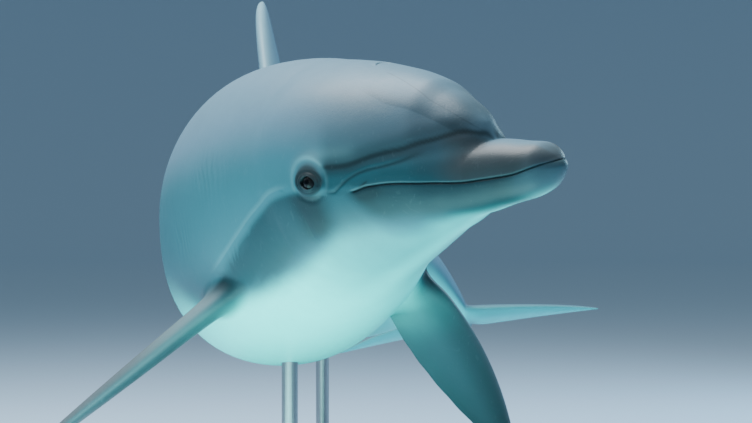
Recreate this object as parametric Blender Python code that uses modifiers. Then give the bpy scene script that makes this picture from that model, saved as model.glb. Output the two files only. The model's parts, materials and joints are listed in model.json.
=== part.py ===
"""Bottlenose dolphin (Tursiops truncatus), adult, life size, as a still model
on a plain two-post display stand.

The animal is drawn first as a straight body: rings of section along a station
axis s that runs back from the tip of the snout, each ring given in polar form
about a point on the line of the mouth.  The straight body is then laid along a
bent spine.  Flippers, dorsal fin and flukes are lofts between a leading and a
trailing edge curve with a foil section.

Frame: metres, +Z up, origin at the centre of the underside of the stand base.
The snout points to -Y and +X, the tail to +Y.
"""
import bpy
import bmesh
import numpy as np
from math import cos, pi, radians, sin

# ------------------------------------------------------------------ sizes (m)
BODY_END = 2.47            # last ring of the tail stock, at the fluke notch
GAPE_CORNER = 0.282        # station of the corner of the mouth
CREASE = 0.103             # station where the melon rises from the beak
JAW_LEAD = 0.006           # the lower jaw reaches this far past the upper one
GAP = 0.0003               # clearance between neighbouring pieces
HEAD_END, NECK_END, THORAX_END, ABDOMEN_END = 0.46, 0.545, 1.08, 1.64
SEGMENTS = 32              # points round a ring

EYE_RADIUS, EYE_STATION, EYE_ANGLE, EYE_DEPTH = 0.0175, 0.352, 83.5, 0.0130

# trunk: station, height of back, height of belly, half width
TRUNK = [(0.10, 0.020, -0.085, 0.036), (0.20, 0.080, -0.118, 0.072),
         (0.30, 0.120, -0.149, 0.110), (0.36, 0.142, -0.168, 0.132),
         (0.45, 0.173, -0.196, 0.158), (0.60, 0.208, -0.237, 0.188),
         (0.80, 0.234, -0.271, 0.212), (1.00, 0.241, -0.277, 0.217),
         (1.20, 0.238, -0.256, 0.212), (1.50, 0.203, -0.208, 0.163),
         (1.75, 0.152, -0.187, 0.112), (2.00, 0.117, -0.108, 0.076),
         (2.20, 0.082, -0.066, 0.040), (2.35, 0.050, -0.042, 0.026),
         (2.47, 0.022, -0.022, 0.020)]
CHEST_FULLNESS = 0.05      # how far the lower flanks are squared out
# line of the mouth, carried on aft as the pole of the rings: station, height
MOUTH = [(-0.01, -0.062), (0.0, -0.062), (0.06, -0.0675), (0.12, -0.065),
         (0.18, -0.056), (0.24, -0.046), (0.285, -0.044), (0.36, -0.036),
         (0.50, -0.015), (0.80, -0.005), (1.40, 0.0), (2.60, 0.0)]
# beak and jaws: station, half width / rise of upper jaw / drop of lower jaw
JAW_WIDTH = [(0.0, 0.025), (0.03, 0.037), (0.06, 0.043), (0.09, 0.048),
             (0.13, 0.057), (0.18, 0.075), (0.24, 0.097), (0.30, 0.116),
             (0.36, 0.130), (0.45, 0.14)]
JAW_RISE = [(0.0, 0.022), (0.03, 0.038), (0.06, 0.046), (0.09, 0.051),
            (0.13, 0.055), (0.20, 0.056), (0.28, 0.050), (0.36, 0.04),
            (0.45, 0.03)]
JAW_DROP = [(0.0, 0.023), (0.03, 0.030), (0.06, 0.034), (0.09, 0.038),
            (0.13, 0.045), (0.20, 0.064), (0.28, 0.090), (0.36, 0.112),
            (0.45, 0.122)]
BLUNT_UPPER, BLUNT_LOWER = 0.030, 0.034      # length of the rounded tips
# melon: station, height of its crown / half width
MELON_TOP = [(0.103, -0.030), (0.106, -0.011), (0.112, 0.006), (0.123, 0.024),
             (0.140, 0.043), (0.167, 0.064), (0.206, 0.087), (0.25, 0.107),
             (0.30, 0.125), (0.36, 0.142), (0.45, 0.154)]
MELON_WIDTH = [(0.103, 0.012), (0.106, 0.022), (0.112, 0.030), (0.123, 0.039),
               (0.140, 0.049), (0.167, 0.062), (0.206, 0.079), (0.25, 0.097),
               (0.30, 0.114), (0.36, 0.130), (0.45, 0.15)]
MELON_FLOOR = -0.095

# bend of the spine: station, degrees
YAW = [(0.15, 39.5), (0.55, 23), (0.95, 6.5), (1.45, -14), (1.95, -29.5), (2.45, -8)]
PITCH = [(0.15, 7), (0.55, 8.7), (0.95, 4.6), (1.45, 8), (1.95, 15.5), (2.45, 16)]
ROLL = [(0.3, -7.4), (0.9, -3.4), (1.5, -11.5), (2.3, -10)]
ANCHOR_STATION, ANCHOR = 0.9, (-0.126, -0.26, 0.626)

# fins: edge curves as (back, out) control points, thickness along the span
FLIPPER = dict(lead=[(-0.062, 0.0), (-0.060, 0.14), (0.040, 0.31), (0.140, 0.440)],
               trail=[(0.060, 0.0), (0.115, 0.08), (0.155, 0.26), (0.140, 0.440)],
               thick=[(0, 0.034), (0.3, 0.030), (0.6, 0.023), (0.85, 0.015), (1, 0.008)])
DORSAL = dict(lead=[(-0.185, 0.0), (-0.09, 0.118), (0.03, 0.250), (0.130, 0.269)],
              trail=[(0.165, 0.0), (0.10, 0.075), (0.085, 0.17), (0.130, 0.269)],
              thick=[(0, 0.038), (0.3, 0.034), (0.6, 0.029), (0.85, 0.023), (1, 0.014)])
FLUKE = dict(lead=[(-0.10, 0.0), (-0.065, 0.11), (0.03, 0.262), (0.130, 0.345)],
             trail=[(0.072, 0.0), (0.118, 0.06), (0.085, 0.19), (0.130, 0.345)],
             thick=[(0, 0.036), (0.3, 0.029), (0.6, 0.021), (0.85, 0.014), (1, 0.008)])
FLIPPER_STATION = 0.655
FLIPPER_DROOP = {'left': 38.0, 'right': 33.0}    # below the horizontal, degrees
FLIPPER_ANGLE = {'left': 138.0, 'right': 134.0}  # place on the side, from the back
FLIPPER_TWIST = {'left': 21.0, 'right': 5.0}     # leading edge up, degrees
FLIPPER_SWEEP = {'left': 14.0, 'right': 11.5}     # leaning back, degrees
DORSAL_STATION, FLUKE_STATION = 1.31, 2.40
DORSAL_LEAN, DORSAL_TOE, DORSAL_ANGLE = 6.0, 2.5, -3.0   # fin flexed to the right, degrees
FLUKE_LIFT = {'left': 1.0, 'right': -2.0}        # flex of each blade, degrees
ROOT_FLARE, FLARE_REACH = 0.25, 0.035        # widening where a fin meets the body

BASE_SIZE, BASE_CENTRE = (0.70, 1.20, 0.04), (0.0, 0.0)
ROD_RADIUS = 0.014
ROD_STATIONS = {'front': 0.80, 'rear': 1.55}

COLOURS = {'back': (0.13, 0.19, 0.22), 'belly': (0.55, 0.72, 0.70),
           'flank': (0.20, 0.32, 0.35), 'eye': (0.01, 0.012, 0.015),
           'stand': (0.03, 0.03, 0.032), 'rod': (0.30, 0.31, 0.32)}


# ------------------------------------------------------------------ functions
def spline(knots, s):
    """natural cubic spline through (station, value) pairs"""
    x, y = np.array(knots, float).T
    n, h = len(x), np.diff(x)
    a, b = np.eye(n), np.zeros(n)
    for i in range(1, n - 1):
        a[i, i - 1:i + 2] = h[i - 1], 2 * (h[i - 1] + h[i]), h[i]
        b[i] = 6 * ((y[i + 1] - y[i]) / h[i] - (y[i] - y[i - 1]) / h[i - 1])
    m = np.linalg.solve(a, b)
    s = np.asarray(s, float)
    i = np.clip(np.searchsorted(x, s) - 1, 0, n - 2)
    t, w = s - x[i], h[i]
    u = w - t
    return ((m[i] * u ** 3 + m[i + 1] * t ** 3) / (6 * w)
            + (y[i] / w - m[i] * w / 6) * u + (y[i + 1] / w - m[i + 1] * w / 6) * t)


def curve(knots, s):
    """monotone cubic through (station, value) pairs, which never overshoots"""
    x, y = np.array(knots, float).T
    h = np.diff(x)
    d = np.diff(y) / h
    m = np.zeros_like(x)
    m[0], m[-1] = d[0], d[-1]
    for i in range(1, len(x) - 1):
        if d[i - 1] * d[i] > 0:
            w1, w2 = 2 * h[i] + h[i - 1], h[i] + 2 * h[i - 1]
            m[i] = (w1 + w2) / (w1 / d[i - 1] + w2 / d[i])
    s = np.asarray(s, float)
    i = np.clip(np.searchsorted(x, s) - 1, 0, len(x) - 2)
    t = (s - x[i]) / h[i]
    return ((2 * t ** 3 - 3 * t ** 2 + 1) * y[i] + (t ** 3 - 2 * t ** 2 + t) * h[i] * m[i]
            + (-2 * t ** 3 + 3 * t ** 2) * y[i + 1] + (t ** 3 - t ** 2) * h[i] * m[i + 1])


def step(x, lo, hi):
    """smooth step from 0 at lo to 1 at hi"""
    t = np.clip((x - lo) / (hi - lo), 0, 1)
    return t * t * (3 - 2 * t)


def soft_max(a, b, k):
    """the larger of two values, rounded over the width k"""
    h = np.maximum(k - np.abs(a - b), 0) / k
    return np.maximum(a, b) + h * h * k / 4


def ellipse_ray(half_w, half_h, centre, pole, sn, cs):
    """distance from the pole to an ellipse on the midline, 0 where it is missed"""
    e = pole - centre
    a = (sn / half_w) ** 2 + (cs / half_h) ** 2
    b = e * cs / half_h ** 2
    d = b * b - a * ((e / half_h) ** 2 - 1)
    return np.where(d > 0, (-b + np.sqrt(np.maximum(d, 0))) / a, 0.0).clip(0)


def radius(s, angle):
    """polar radius of the straight body at station s, and the height of its pole"""
    s, angle = np.asarray(s, float), np.asarray(angle, float)
    sn, cs = np.sin(angle), np.cos(angle)
    pole = curve(MOUTH, s)
    sh = np.minimum(s, 0.45)
    upper = np.sqrt(np.clip(1 - ((BLUNT_UPPER - s) / BLUNT_UPPER).clip(0) ** 2.6, 0, None) + 1e-9)
    lower = np.sqrt(np.clip(1 - ((BLUNT_LOWER - s - JAW_LEAD) / BLUNT_LOWER).clip(0) ** 2.6, 0, None) + 1e-9)
    width = curve(JAW_WIDTH, sh) * np.where(cs > 0, upper, lower)
    rise = np.where(cs > 0, curve(JAW_RISE, sh) * upper, curve(JAW_DROP, sh) * lower)
    jaws = (np.abs(sn / width) ** 2.25 + np.abs(cs / rise) ** 2.25) ** (-1 / 2.25)
    top = curve(MELON_TOP, sh)
    melon = ellipse_ray(curve(MELON_WIDTH, sh), (top - MELON_FLOOR) / 2,
                        (top + MELON_FLOOR) / 2, pole, sn, cs)
    melon = np.where(s < CREASE, 0, melon)
    back, belly, half = (spline([(k[0], k[i]) for k in TRUNK], s) for i in (1, 2, 3))
    trunk = ellipse_ray(half, (back - belly) / 2, (back + belly) / 2, pole, sn, cs)
    full = step(s, 0.42, 0.60) * (1 - step(s, 0.9, 1.3)) * (cs < 0)
    trunk = trunk * step(s, 0.10, 0.20) * (1 + CHEST_FULLNESS * full * np.sin(2 * angle) ** 2)
    fade = 1 - step(s, 0.40, 0.62)
    head = soft_max(jaws, melon, (0.010 + 0.05 * step(s, 0.11, 0.40)) * fade + 1e-6)
    return soft_max(head * (1 - step(s, 0.42, 0.80)), trunk, 0.03 * fade + 1e-6), pole


class Spine:
    """the bent axis of the body with its forward, up and left directions"""

    def __init__(self):
        self.s = np.linspace(-0.05, 2.65, 1081)
        y, p, r = (np.radians(spline(k, self.s)) for k in (YAW, PITCH, ROLL))
        forward = np.stack([np.sin(y) * np.cos(p), -np.cos(y) * np.cos(p), np.sin(p)], -1)
        up0 = np.array([0, 0, 1.0]) - forward * forward[:, 2:]
        up0 /= np.linalg.norm(up0, axis=1)[:, None]
        side0 = np.cross(up0, forward)
        up = up0 * np.cos(r)[:, None] + side0 * np.sin(r)[:, None]
        self.axes = [forward, up, np.cross(up, forward)]
        ds = self.s[1] - self.s[0]
        run = -np.concatenate([np.zeros((1, 3)), np.cumsum((forward[1:] + forward[:-1]) / 2 * ds, 0)])
        self.line = run - self.read(run, ANCHOR_STATION) + np.array(ANCHOR)

    def read(self, v, s):
        return np.stack([np.interp(s, self.s, v[:, i]) for i in range(3)], -1)

    def frame(self, s):
        """point on the axis and its forward, up and left unit vectors"""
        unit = [self.read(v, s) for v in self.axes]
        unit = [v / np.linalg.norm(v, axis=-1, keepdims=True) for v in unit]
        return [self.read(self.line, s)] + unit

    def place(self, s, left, up):
        """world point of the straight-body point (s, left, up)"""
        c, _, u, w = self.frame(s)
        return c + w * np.asarray(left)[..., None] + u * np.asarray(up)[..., None]


SPINE = Spine()


def skin(s, angle, extra=0.0):
    """world points on the body; the angle is 0 on the back and grows to the right"""
    s, angle = np.broadcast_arrays(np.asarray(s, float), np.asarray(angle, float))
    r, pole = radius(s, angle)
    r = r + extra
    return SPINE.place(s, -r * np.sin(angle), pole + r * np.cos(angle))


def bezier(points, t):
    p, t = np.array(points, float), np.asarray(t)[..., None]
    return ((1 - t) ** 3 * p[0] + 3 * (1 - t) ** 2 * t * p[1]
            + 3 * (1 - t) * t * t * p[2] + t ** 3 * p[3])


def foil(plan, rows, loop, sink):
    """loops of a fin as (back, out, normal); the first ones lie inside the body"""
    t = np.sin(np.linspace(0, 1, rows) * pi / 2)
    t[-1] = 0.9985
    chord = (1 - np.cos(2 * pi * np.arange(loop) / loop)) / 2
    side = np.sign(np.sin(2 * pi * np.arange(loop) / loop))
    half = 1.3 * np.sqrt(chord) * (1 - chord) + 0.12 * np.sqrt(np.clip(chord * (1 - chord), 0, None))
    half = half / half.max() / 2
    lead, trail = bezier(plan['lead'], t), bezier(plan['trail'], t)
    flat = lead[:, None] + (trail - lead)[:, None] * chord[None, :, None]
    thick = curve(plan['thick'], t) * np.sqrt(np.clip(1 - t ** 6, 0.0, 1)) + 0.0008
    flare = 1 + ROOT_FLARE * np.exp(-t * np.linalg.norm(lead[-1]) / FLARE_REACH)
    mid = flat.mean(1, keepdims=True)
    flat[..., 0] = mid[..., 0] + (flat[..., 0] - mid[..., 0]) * (1 + (flare[:, None] - 1) * 0.35)
    g = np.concatenate([flat, ((thick * flare)[:, None] * half * side)[..., None]], -1)
    roots = [g[0] - np.array([0, sink * k, 0]) for k in (1.0, 0.5)]
    return np.concatenate([np.stack(roots), g])


def fin_points(grid, origin, back, out):
    """world points of a fin grid hung on its own axes"""
    normal = np.cross(back, out)
    return (origin + grid[..., :1] * back + grid[..., 1:2] * out + grid[..., 2:] * normal)


# ------------------------------------------------------------------ modelling
def collection(name):
    c = bpy.data.collections.new(name)
    bpy.context.scene.collection.children.link(c)
    return c


def material(name, rgb, rough, metal=0.0):
    m = bpy.data.materials.new(name)
    m.use_nodes = True
    b = m.node_tree.nodes['Principled BSDF']
    b.inputs['Base Color'].default_value = (*rgb, 1)
    b.inputs['Roughness'].default_value = rough
    b.inputs['Metallic'].default_value = metal
    return m


def loft(name, rings, mat, where):
    """closed solid through the rings (rows x points x 3) with flat end caps"""
    bm = bmesh.new()
    rows = [[bm.verts.new(p) for p in ring] for ring in rings]
    n = len(rows[0])
    for a, b in zip(rows, rows[1:]):
        for j in range(n):
            k = (j + 1) % n
            bm.faces.new((a[j], a[k], b[k]))
            bm.faces.new((a[j], b[k], b[j]))
    bm.faces.new(rows[0][::-1])
    bm.faces.new(rows[-1])
    bmesh.ops.recalc_face_normals(bm, faces=bm.faces)
    me = bpy.data.meshes.new(name)
    bm.to_mesh(me)
    bm.free()
    me.shade_smooth()
    me.set_sharp_from_angle(angle=radians(40))
    me.materials.append(mat)
    ob = bpy.data.objects.new(name, me)
    where.objects.link(ob)
    return ob


def primitive(kind, name, mat, where, **size):
    getattr(bpy.ops.mesh, 'primitive_%s_add' % kind)(**size)
    ob = bpy.context.object
    ob.name = ob.data.name = name
    ob.data.materials.append(mat)
    for c in list(ob.users_collection):
        c.objects.unlink(ob)
    where.objects.link(ob)
    return ob


def cut(ob, cutter):
    m = ob.modifiers.new('clear of ' + cutter.name, 'BOOLEAN')
    m.operation, m.solver, m.object = 'DIFFERENCE', 'EXACT', cutter


def as_cutter(ob):
    ob.hide_render = True
    ob.display_type = 'WIRE'
    return ob


def stations(a, b, n):
    return np.linspace(a, b, n)


def build():
    for ob in list(bpy.data.objects):
        bpy.data.objects.remove(ob, do_unlink=True)
    parts, tools = collection('bottlenose_dolphin'), collection('cutters')
    mats = {'back': material('skin_back', COLOURS['back'], 0.35),
            'flank': material('skin_flank', COLOURS['flank'], 0.35),
            'belly': material('skin_belly', COLOURS['belly'], 0.35),
            'eye': material('eye', COLOURS['eye'], 0.08),
            'stand': material('stand', COLOURS['stand'], 0.5),
            'rod': material('rod', COLOURS['rod'], 0.3, 1.0)}
    ring = 2 * pi * np.arange(SEGMENTS) / SEGMENTS
    half_ring = np.linspace(-pi / 2, pi / 2, SEGMENTS // 2 + 1)
    g = GAP / 2

    # jaws: the tips are close-set rings, the rest follows the gape
    blunt = 0.5 - 0.5 * np.cos(np.linspace(0.12, 1, 6) * pi / 2)
    tip = BLUNT_UPPER * blunt / blunt[-1] * 0.98
    rear = np.concatenate([stations(0.040, CREASE, 5), CREASE + np.array([0.004, 0.011, 0.020, 0.030]),
                           stations(CREASE + 0.043, GAPE_CORNER - g, 9)])
    upper = np.concatenate([tip, rear])
    lower = np.concatenate([[0.0005 - JAW_LEAD, 0.002 - JAW_LEAD, 0.004 - JAW_LEAD], upper])
    for name, rows, angles, lift in (('upper_beak', upper, half_ring, g),
                                     ('lower_jaw', lower, -half_ring - pi, -g)):
        s, a = np.meshgrid(rows, angles, indexing='ij')
        r, pole = radius(s, a)
        loft(name, SPINE.place(s, -r * np.sin(a), pole + lift + r * np.cos(a) * (1 - GAP)),
             mats['flank'], parts)

    # trunk in segments, parted on planes square to the spine
    spans = [('head', GAPE_CORNER, HEAD_END, 10, 'back'), ('neck', HEAD_END, NECK_END, 4, 'flank'),
             ('thorax', NECK_END, THORAX_END, 12, 'belly'),
             ('abdomen', THORAX_END, ABDOMEN_END, 11, 'flank'),
             ('tail_stock', ABDOMEN_END, BODY_END, 17, 'flank')]
    body = {}
    for name, a, b, n, mat in spans:
        s, t = np.meshgrid(stations(a + g, b - g, n), ring, indexing='ij')
        body[name] = loft(name, skin(s, t), mats[mat], parts)
    rows = np.concatenate([stations(a + g, b - g, n) for _, a, b, n, _ in spans[1:]])
    rows[-1] = BODY_END + GAP
    s, t = np.meshgrid(rows, ring, indexing='ij')
    envelope = as_cutter(loft('body_envelope', skin(s, t, GAP), mats['back'], tools))

    # eyes, in pockets that open to the side of the head
    for side, sign in (('right', 1), ('left', -1)):
        a = radians(EYE_ANGLE) * sign
        p = skin([EYE_STATION], [a])[0]
        du = skin([EYE_STATION + 0.002], [a])[0] - skin([EYE_STATION - 0.002], [a])[0]
        dv = skin([EYE_STATION], [a + 0.01])[0] - skin([EYE_STATION], [a - 0.01])[0]
        n = np.cross(dv, du)
        n /= np.linalg.norm(n)
        if n @ (p - SPINE.read(SPINE.line, EYE_STATION)) < 0:
            n = -n
        at = p - n * EYE_DEPTH
        eye = primitive('uv_sphere', 'eye_' + side, mats['eye'], parts,
                        segments=16, ring_count=10, radius=EYE_RADIUS, location=at)
        eye.data.shade_smooth()
        pocket = primitive('uv_sphere', 'pocket_' + side, mats['eye'], tools,
                           segments=16, ring_count=10, radius=EYE_RADIUS + GAP * 1.2, location=at)
        cut(body['head'], as_cutter(pocket))

    # flippers
    _, f, u, w = SPINE.frame(FLIPPER_STATION)
    for side, sign in (('right', -1), ('left', 1)):
        d, k = radians(FLIPPER_DROOP[side]), radians(FLIPPER_TWIST[side])
        out = sign * w * cos(d) - u * sin(d)
        top = sign * w * sin(d) + u * cos(d)
        back = -f * cos(k) - top * sin(k)
        k = radians(FLIPPER_SWEEP[side])
        out, back = out * cos(k) + back * sin(k), back * cos(k) - out * sin(k)
        root = skin([FLIPPER_STATION], [-sign * radians(FLIPPER_ANGLE[side])])[0]
        grid = foil(FLIPPER, 13, 16, 0.05)
        cut(loft('flipper_' + side, fin_points(grid, root, back, out), mats['flank'], parts), envelope)

    # dorsal fin
    _, f, u, w = SPINE.frame(DORSAL_STATION)
    root = skin([DORSAL_STATION], [radians(DORSAL_ANGLE)])[0]
    lean, toe = radians(DORSAL_LEAN), radians(DORSAL_TOE)
    back = -f * cos(toe) - w * sin(toe)
    out = u * cos(lean) - np.cross(back, u) * sin(lean)
    cut(loft('dorsal_fin', fin_points(foil(DORSAL, 13, 16, 0.06), root, back, out), mats['back'], parts),
        envelope)

    # flukes: each starts at the midline
    c, f, u, w = SPINE.frame(FLUKE_STATION)
    for side, sign in (('right', -1), ('left', 1)):
        k = radians(FLUKE_LIFT[side])
        out = sign * w * cos(k) + u * sin(k)
        grid = foil(FLUKE, 13, 16, 0.0)[2:]
        grid[0, :, 1] = 0.002
        cut(loft('fluke_' + side, fin_points(grid, c, -f, out), mats['flank'], parts), envelope)

    # display stand
    bx, by, bz = BASE_SIZE
    base = primitive('cube', 'stand_base', mats['stand'], parts, size=1,
                     location=(*BASE_CENTRE, bz / 2), scale=BASE_SIZE)
    bpy.ops.object.transform_apply(location=False, rotation=False, scale=True)
    bev = base.modifiers.new('edge', 'BEVEL')
    bev.width, bev.segments = 0.006, 2
    for name, s in ROD_STATIONS.items():
        c = SPINE.frame(s)[0]
        rod = primitive('cylinder', 'stand_rod_' + name, mats['rod'], parts, vertices=24,
                        radius=ROD_RADIUS, depth=c[2] - bz - GAP,
                        location=(c[0], c[1], (c[2] + bz + GAP) / 2))
        rod.data.shade_smooth()
        rod.data.set_sharp_from_angle(angle=radians(40))
        cut(rod, envelope)


build()
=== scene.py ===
"""Looks of a life-size bottlenose dolphin display model.

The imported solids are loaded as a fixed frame.  One closed skin stands for all
the nodes of flesh.  It is drawn as they are, from nearly the same sizes on a
finer grid, with the mouth, lids, blowhole, folds and fin roots worked into it.
Lengths are metres, +Z is up.
"""
import json
from math import cos, pi, radians, sin

import bmesh
import bpy
import numpy as np
from mathutils import Matrix

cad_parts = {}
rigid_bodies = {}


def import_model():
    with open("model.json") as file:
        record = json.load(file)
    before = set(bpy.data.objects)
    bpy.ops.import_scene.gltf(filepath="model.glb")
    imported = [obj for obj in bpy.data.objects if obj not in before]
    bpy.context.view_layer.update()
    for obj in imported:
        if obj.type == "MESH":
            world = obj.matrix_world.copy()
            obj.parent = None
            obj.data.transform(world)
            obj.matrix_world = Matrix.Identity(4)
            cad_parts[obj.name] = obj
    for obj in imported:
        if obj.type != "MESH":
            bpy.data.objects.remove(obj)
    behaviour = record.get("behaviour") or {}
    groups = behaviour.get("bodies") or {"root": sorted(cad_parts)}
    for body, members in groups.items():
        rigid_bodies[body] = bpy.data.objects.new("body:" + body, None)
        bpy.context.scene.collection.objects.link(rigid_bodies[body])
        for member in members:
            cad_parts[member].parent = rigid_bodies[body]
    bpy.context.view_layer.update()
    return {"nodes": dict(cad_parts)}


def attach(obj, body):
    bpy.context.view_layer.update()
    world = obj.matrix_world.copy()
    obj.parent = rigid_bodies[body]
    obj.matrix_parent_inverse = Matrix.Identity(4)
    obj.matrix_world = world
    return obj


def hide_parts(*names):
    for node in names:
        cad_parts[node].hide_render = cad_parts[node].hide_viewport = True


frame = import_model()

bl_info = {
    "name": "Bottlenose dolphin display model",
    "version": (1, 0, 0),
    "blender": (4, 5, 0),
    "location": "View3D > Sidebar > Dolphin",
    "description": "Skin, eyes, stand finishes and studio of a life-size dolphin model",
    "category": "Object",
}

# --------------------------------------------------------------- body sizes
BODY_END, CREASE = 2.47, 0.103      # stations of the last ring and of the melon's rise
JAW_LEAD = 0.006                    # the lower jaw reaches this far past the upper one
EYE_RADIUS, EYE_STATION, EYE_ANGLE, EYE_DEPTH = 0.0175, 0.352, 83.5, 0.013
MOUND_ARC, MOUND_LENGTH, MOUND_HEIGHT = 0.135, 0.0256, 0.0259   # body's radius, half sizes
# trunk: station, height of back, height of belly, half width
TRUNK = [(0.1, 0.02, -0.085, 0.036), (0.2, 0.08, -0.118, 0.072),
         (0.3, 0.12, -0.149, 0.11), (0.36, 0.142, -0.168, 0.132),
         (0.45, 0.173, -0.196, 0.158), (0.6, 0.208, -0.237, 0.188),
         (0.8, 0.234, -0.271, 0.212), (1.0, 0.241, -0.277, 0.217),
         (1.2, 0.238, -0.256, 0.212), (1.5, 0.203, -0.208, 0.163),
         (1.75, 0.152, -0.187, 0.112), (2.0, 0.117, -0.108, 0.076),
         (2.2, 0.082, -0.066, 0.04), (2.35, 0.05, -0.042, 0.026),
         (2.47, 0.022, -0.022, 0.02)]
CHEST_FULLNESS = 0.05      # how far the lower flanks are squared out
# line of the mouth, carried on aft as the pole of the rings: station, height
MOUTH = [(-0.01, -0.055), (0.0, -0.055), (0.06, -0.063), (0.12, -0.062),
         (0.18, -0.053), (0.24, -0.0435), (0.285, -0.042), (0.36, -0.036),
         (0.5, -0.015), (0.8, -0.005), (1.4, 0.0), (2.6, 0.0)]
JAW_WIDTH = [(0.0, 0.025), (0.03, 0.037), (0.06, 0.043), (0.09, 0.048),
             (0.13, 0.057), (0.18, 0.075), (0.24, 0.097), (0.3, 0.116),
             (0.36, 0.13), (0.45, 0.14)]
# jaws: station, rise of the upper one, drop of the lower one
JAWS = [(0.0, 0.016, 0.03), (0.03, 0.032, 0.036), (0.06, 0.0415, 0.0385),
        (0.09, 0.0475, 0.0415), (0.13, 0.052, 0.048), (0.2, 0.053, 0.067),
        (0.28, 0.048, 0.092), (0.36, 0.04, 0.112), (0.45, 0.03, 0.122)]
BLUNT_UPPER, BLUNT_LOWER = 0.03, 0.034      # length of the rounded tips
# melon: station, height of its crown, half width
MELON = [(0.103, -0.03, 0.012), (0.106, -0.011, 0.022), (0.112, 0.006, 0.03),
         (0.123, 0.024, 0.039), (0.14, 0.043, 0.049), (0.167, 0.064, 0.062),
         (0.206, 0.087, 0.079), (0.25, 0.107, 0.097), (0.3, 0.125, 0.114),
         (0.36, 0.142, 0.13), (0.45, 0.154, 0.15)]
MELON_FLOOR = -0.095
# bend of the spine: station, degrees
YAW = [(0.15, 39.5), (0.55, 23), (0.95, 6.5), (1.45, -14), (1.95, -29.5), (2.45, -8)]
PITCH = [(0.15, 7), (0.55, 8.7), (0.95, 4.6), (1.45, 8), (1.95, 15.5), (2.45, 16)]
ROLL = [(0.3, -7.4), (0.9, -3.4), (1.5, -11.5), (2.3, -10)]
ANCHOR_STATION, ANCHOR = 0.9, (-0.126, -0.26, 0.626)

SIDES = (('right', -1), ('left', 1))         # sign of the way out along the left direction
# fins: edge curves as (back, out) control points, thickness along the span
FLIPPER = dict(lead=[(-0.062, 0.0), (-0.06, 0.14), (0.04, 0.31), (0.14, 0.44)],
               trail=[(0.06, 0.0), (0.115, 0.08), (0.155, 0.26), (0.14, 0.44)],
               thick=[(0, 0.034), (0.3, 0.03), (0.6, 0.023), (0.85, 0.015), (1, 0.008)])
DORSAL = dict(lead=[(-0.185, 0.0), (-0.09, 0.118), (0.03, 0.25), (0.13, 0.269)],
              trail=[(0.165, 0.0), (0.1, 0.075), (0.085, 0.17), (0.13, 0.269)],
              thick=[(0, 0.038), (0.3, 0.034), (0.6, 0.029), (0.85, 0.023), (1, 0.014)])
FLUKE = dict(lead=[(-0.1, 0.0), (-0.065, 0.11), (0.03, 0.262), (0.13, 0.345)],
             trail=[(0.072, 0.0), (0.118, 0.06), (0.085, 0.19), (0.13, 0.345)],
             thick=[(0, 0.036), (0.3, 0.029), (0.6, 0.021), (0.85, 0.014), (1, 0.008)])
# place of each fin, then how it is held, in degrees
FLIPPER_STATION, DORSAL_STATION, FLUKE_STATION = 0.655, 1.31, 2.4
FLIPPER_DROOP = {'left': 38.0, 'right': 33.0}
FLIPPER_ANGLE = {'left': 138.0, 'right': 134.0}
FLIPPER_TWIST = {'left': 21.0, 'right': 5.0}
FLIPPER_SWEEP = {'left': 14.0, 'right': 11.5}
DORSAL_LEAN, DORSAL_TOE, DORSAL_ANGLE = 6.0, 2.5, -3.0
FLUKE_LIFT = {'left': 1.0, 'right': -2.0}
ROOT_FLARE, FLARE_REACH = 0.25, 0.035        # widening where a fin meets the body
FOIL_PEAK = 0.5196      # divides the section's curve, so that it stands for the thickness
# how each kind of fin meets the skin: its plan, half length of the hole for it,
# first span, count of rows, half length, half width and shift of its foot
ROOTS = {'flipper': (FLIPPER, 0.12, 0.1, 40, (0.088, 0.038, 0.0)),
         'dorsal': (DORSAL, 0.245, 0.13, 34, (0.215, 0.042, -0.01)),
         'fluke': (FLUKE, 0.094, 0.22, 32, (0.082, 0.02, 0.0))}
# fins: name, kind, the hole's station, angle and half angle, which face is up
FINS = [('flipper_right', 'flipper', FLIPPER_STATION, FLIPPER_ANGLE['right'], 23.0, 1.0),
        ('flipper_left', 'flipper', FLIPPER_STATION, -FLIPPER_ANGLE['left'], 26.0, -1.0),
        ('dorsal_fin', 'dorsal', DORSAL_STATION, DORSAL_ANGLE, 19.0, 1.0),
        ('fluke_right', 'fluke', 2.375, 90.0, 52.0, 1.0),
        ('fluke_left', 'fluke', 2.375, -90.0, 52.0, -1.0)]

# ------------------------------------------------------------ skin features
# groove between melon and upper jaw, on to the brow: station, angle from the back
BRIDLE = [(0.098, 0), (0.109, 8), (0.116, 18), (0.127, 25), (0.155, 40), (0.179, 50),
          (0.206, 60), (0.249, 68), (0.296, 74), (0.34, 75)]
CHEEK_FOLD = [(0.18, 60), (0.207, 70), (0.236, 76), (0.258, 78), (0.282, 82), (0.296, 86),
              (0.312, 91)]
# edges of the dark band on the melon, from beside the blowhole to its apex
MELON_LINE = [(0.112, 11), (0.122, 16), (0.139, 18.5), (0.175, 18.5), (0.196, 17),
              (0.23, 14), (0.276, 10)]
MELON_BAND = [(0.125, 27), (0.139, 31), (0.178, 31), (0.204, 32), (0.229, 33), (0.253, 31),
              (0.281, 28)]
THROAT_CREASES = (0.385, 0.446)        # stations of the two rings under the throat
BLOWHOLE_STATION = 0.322
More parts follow.
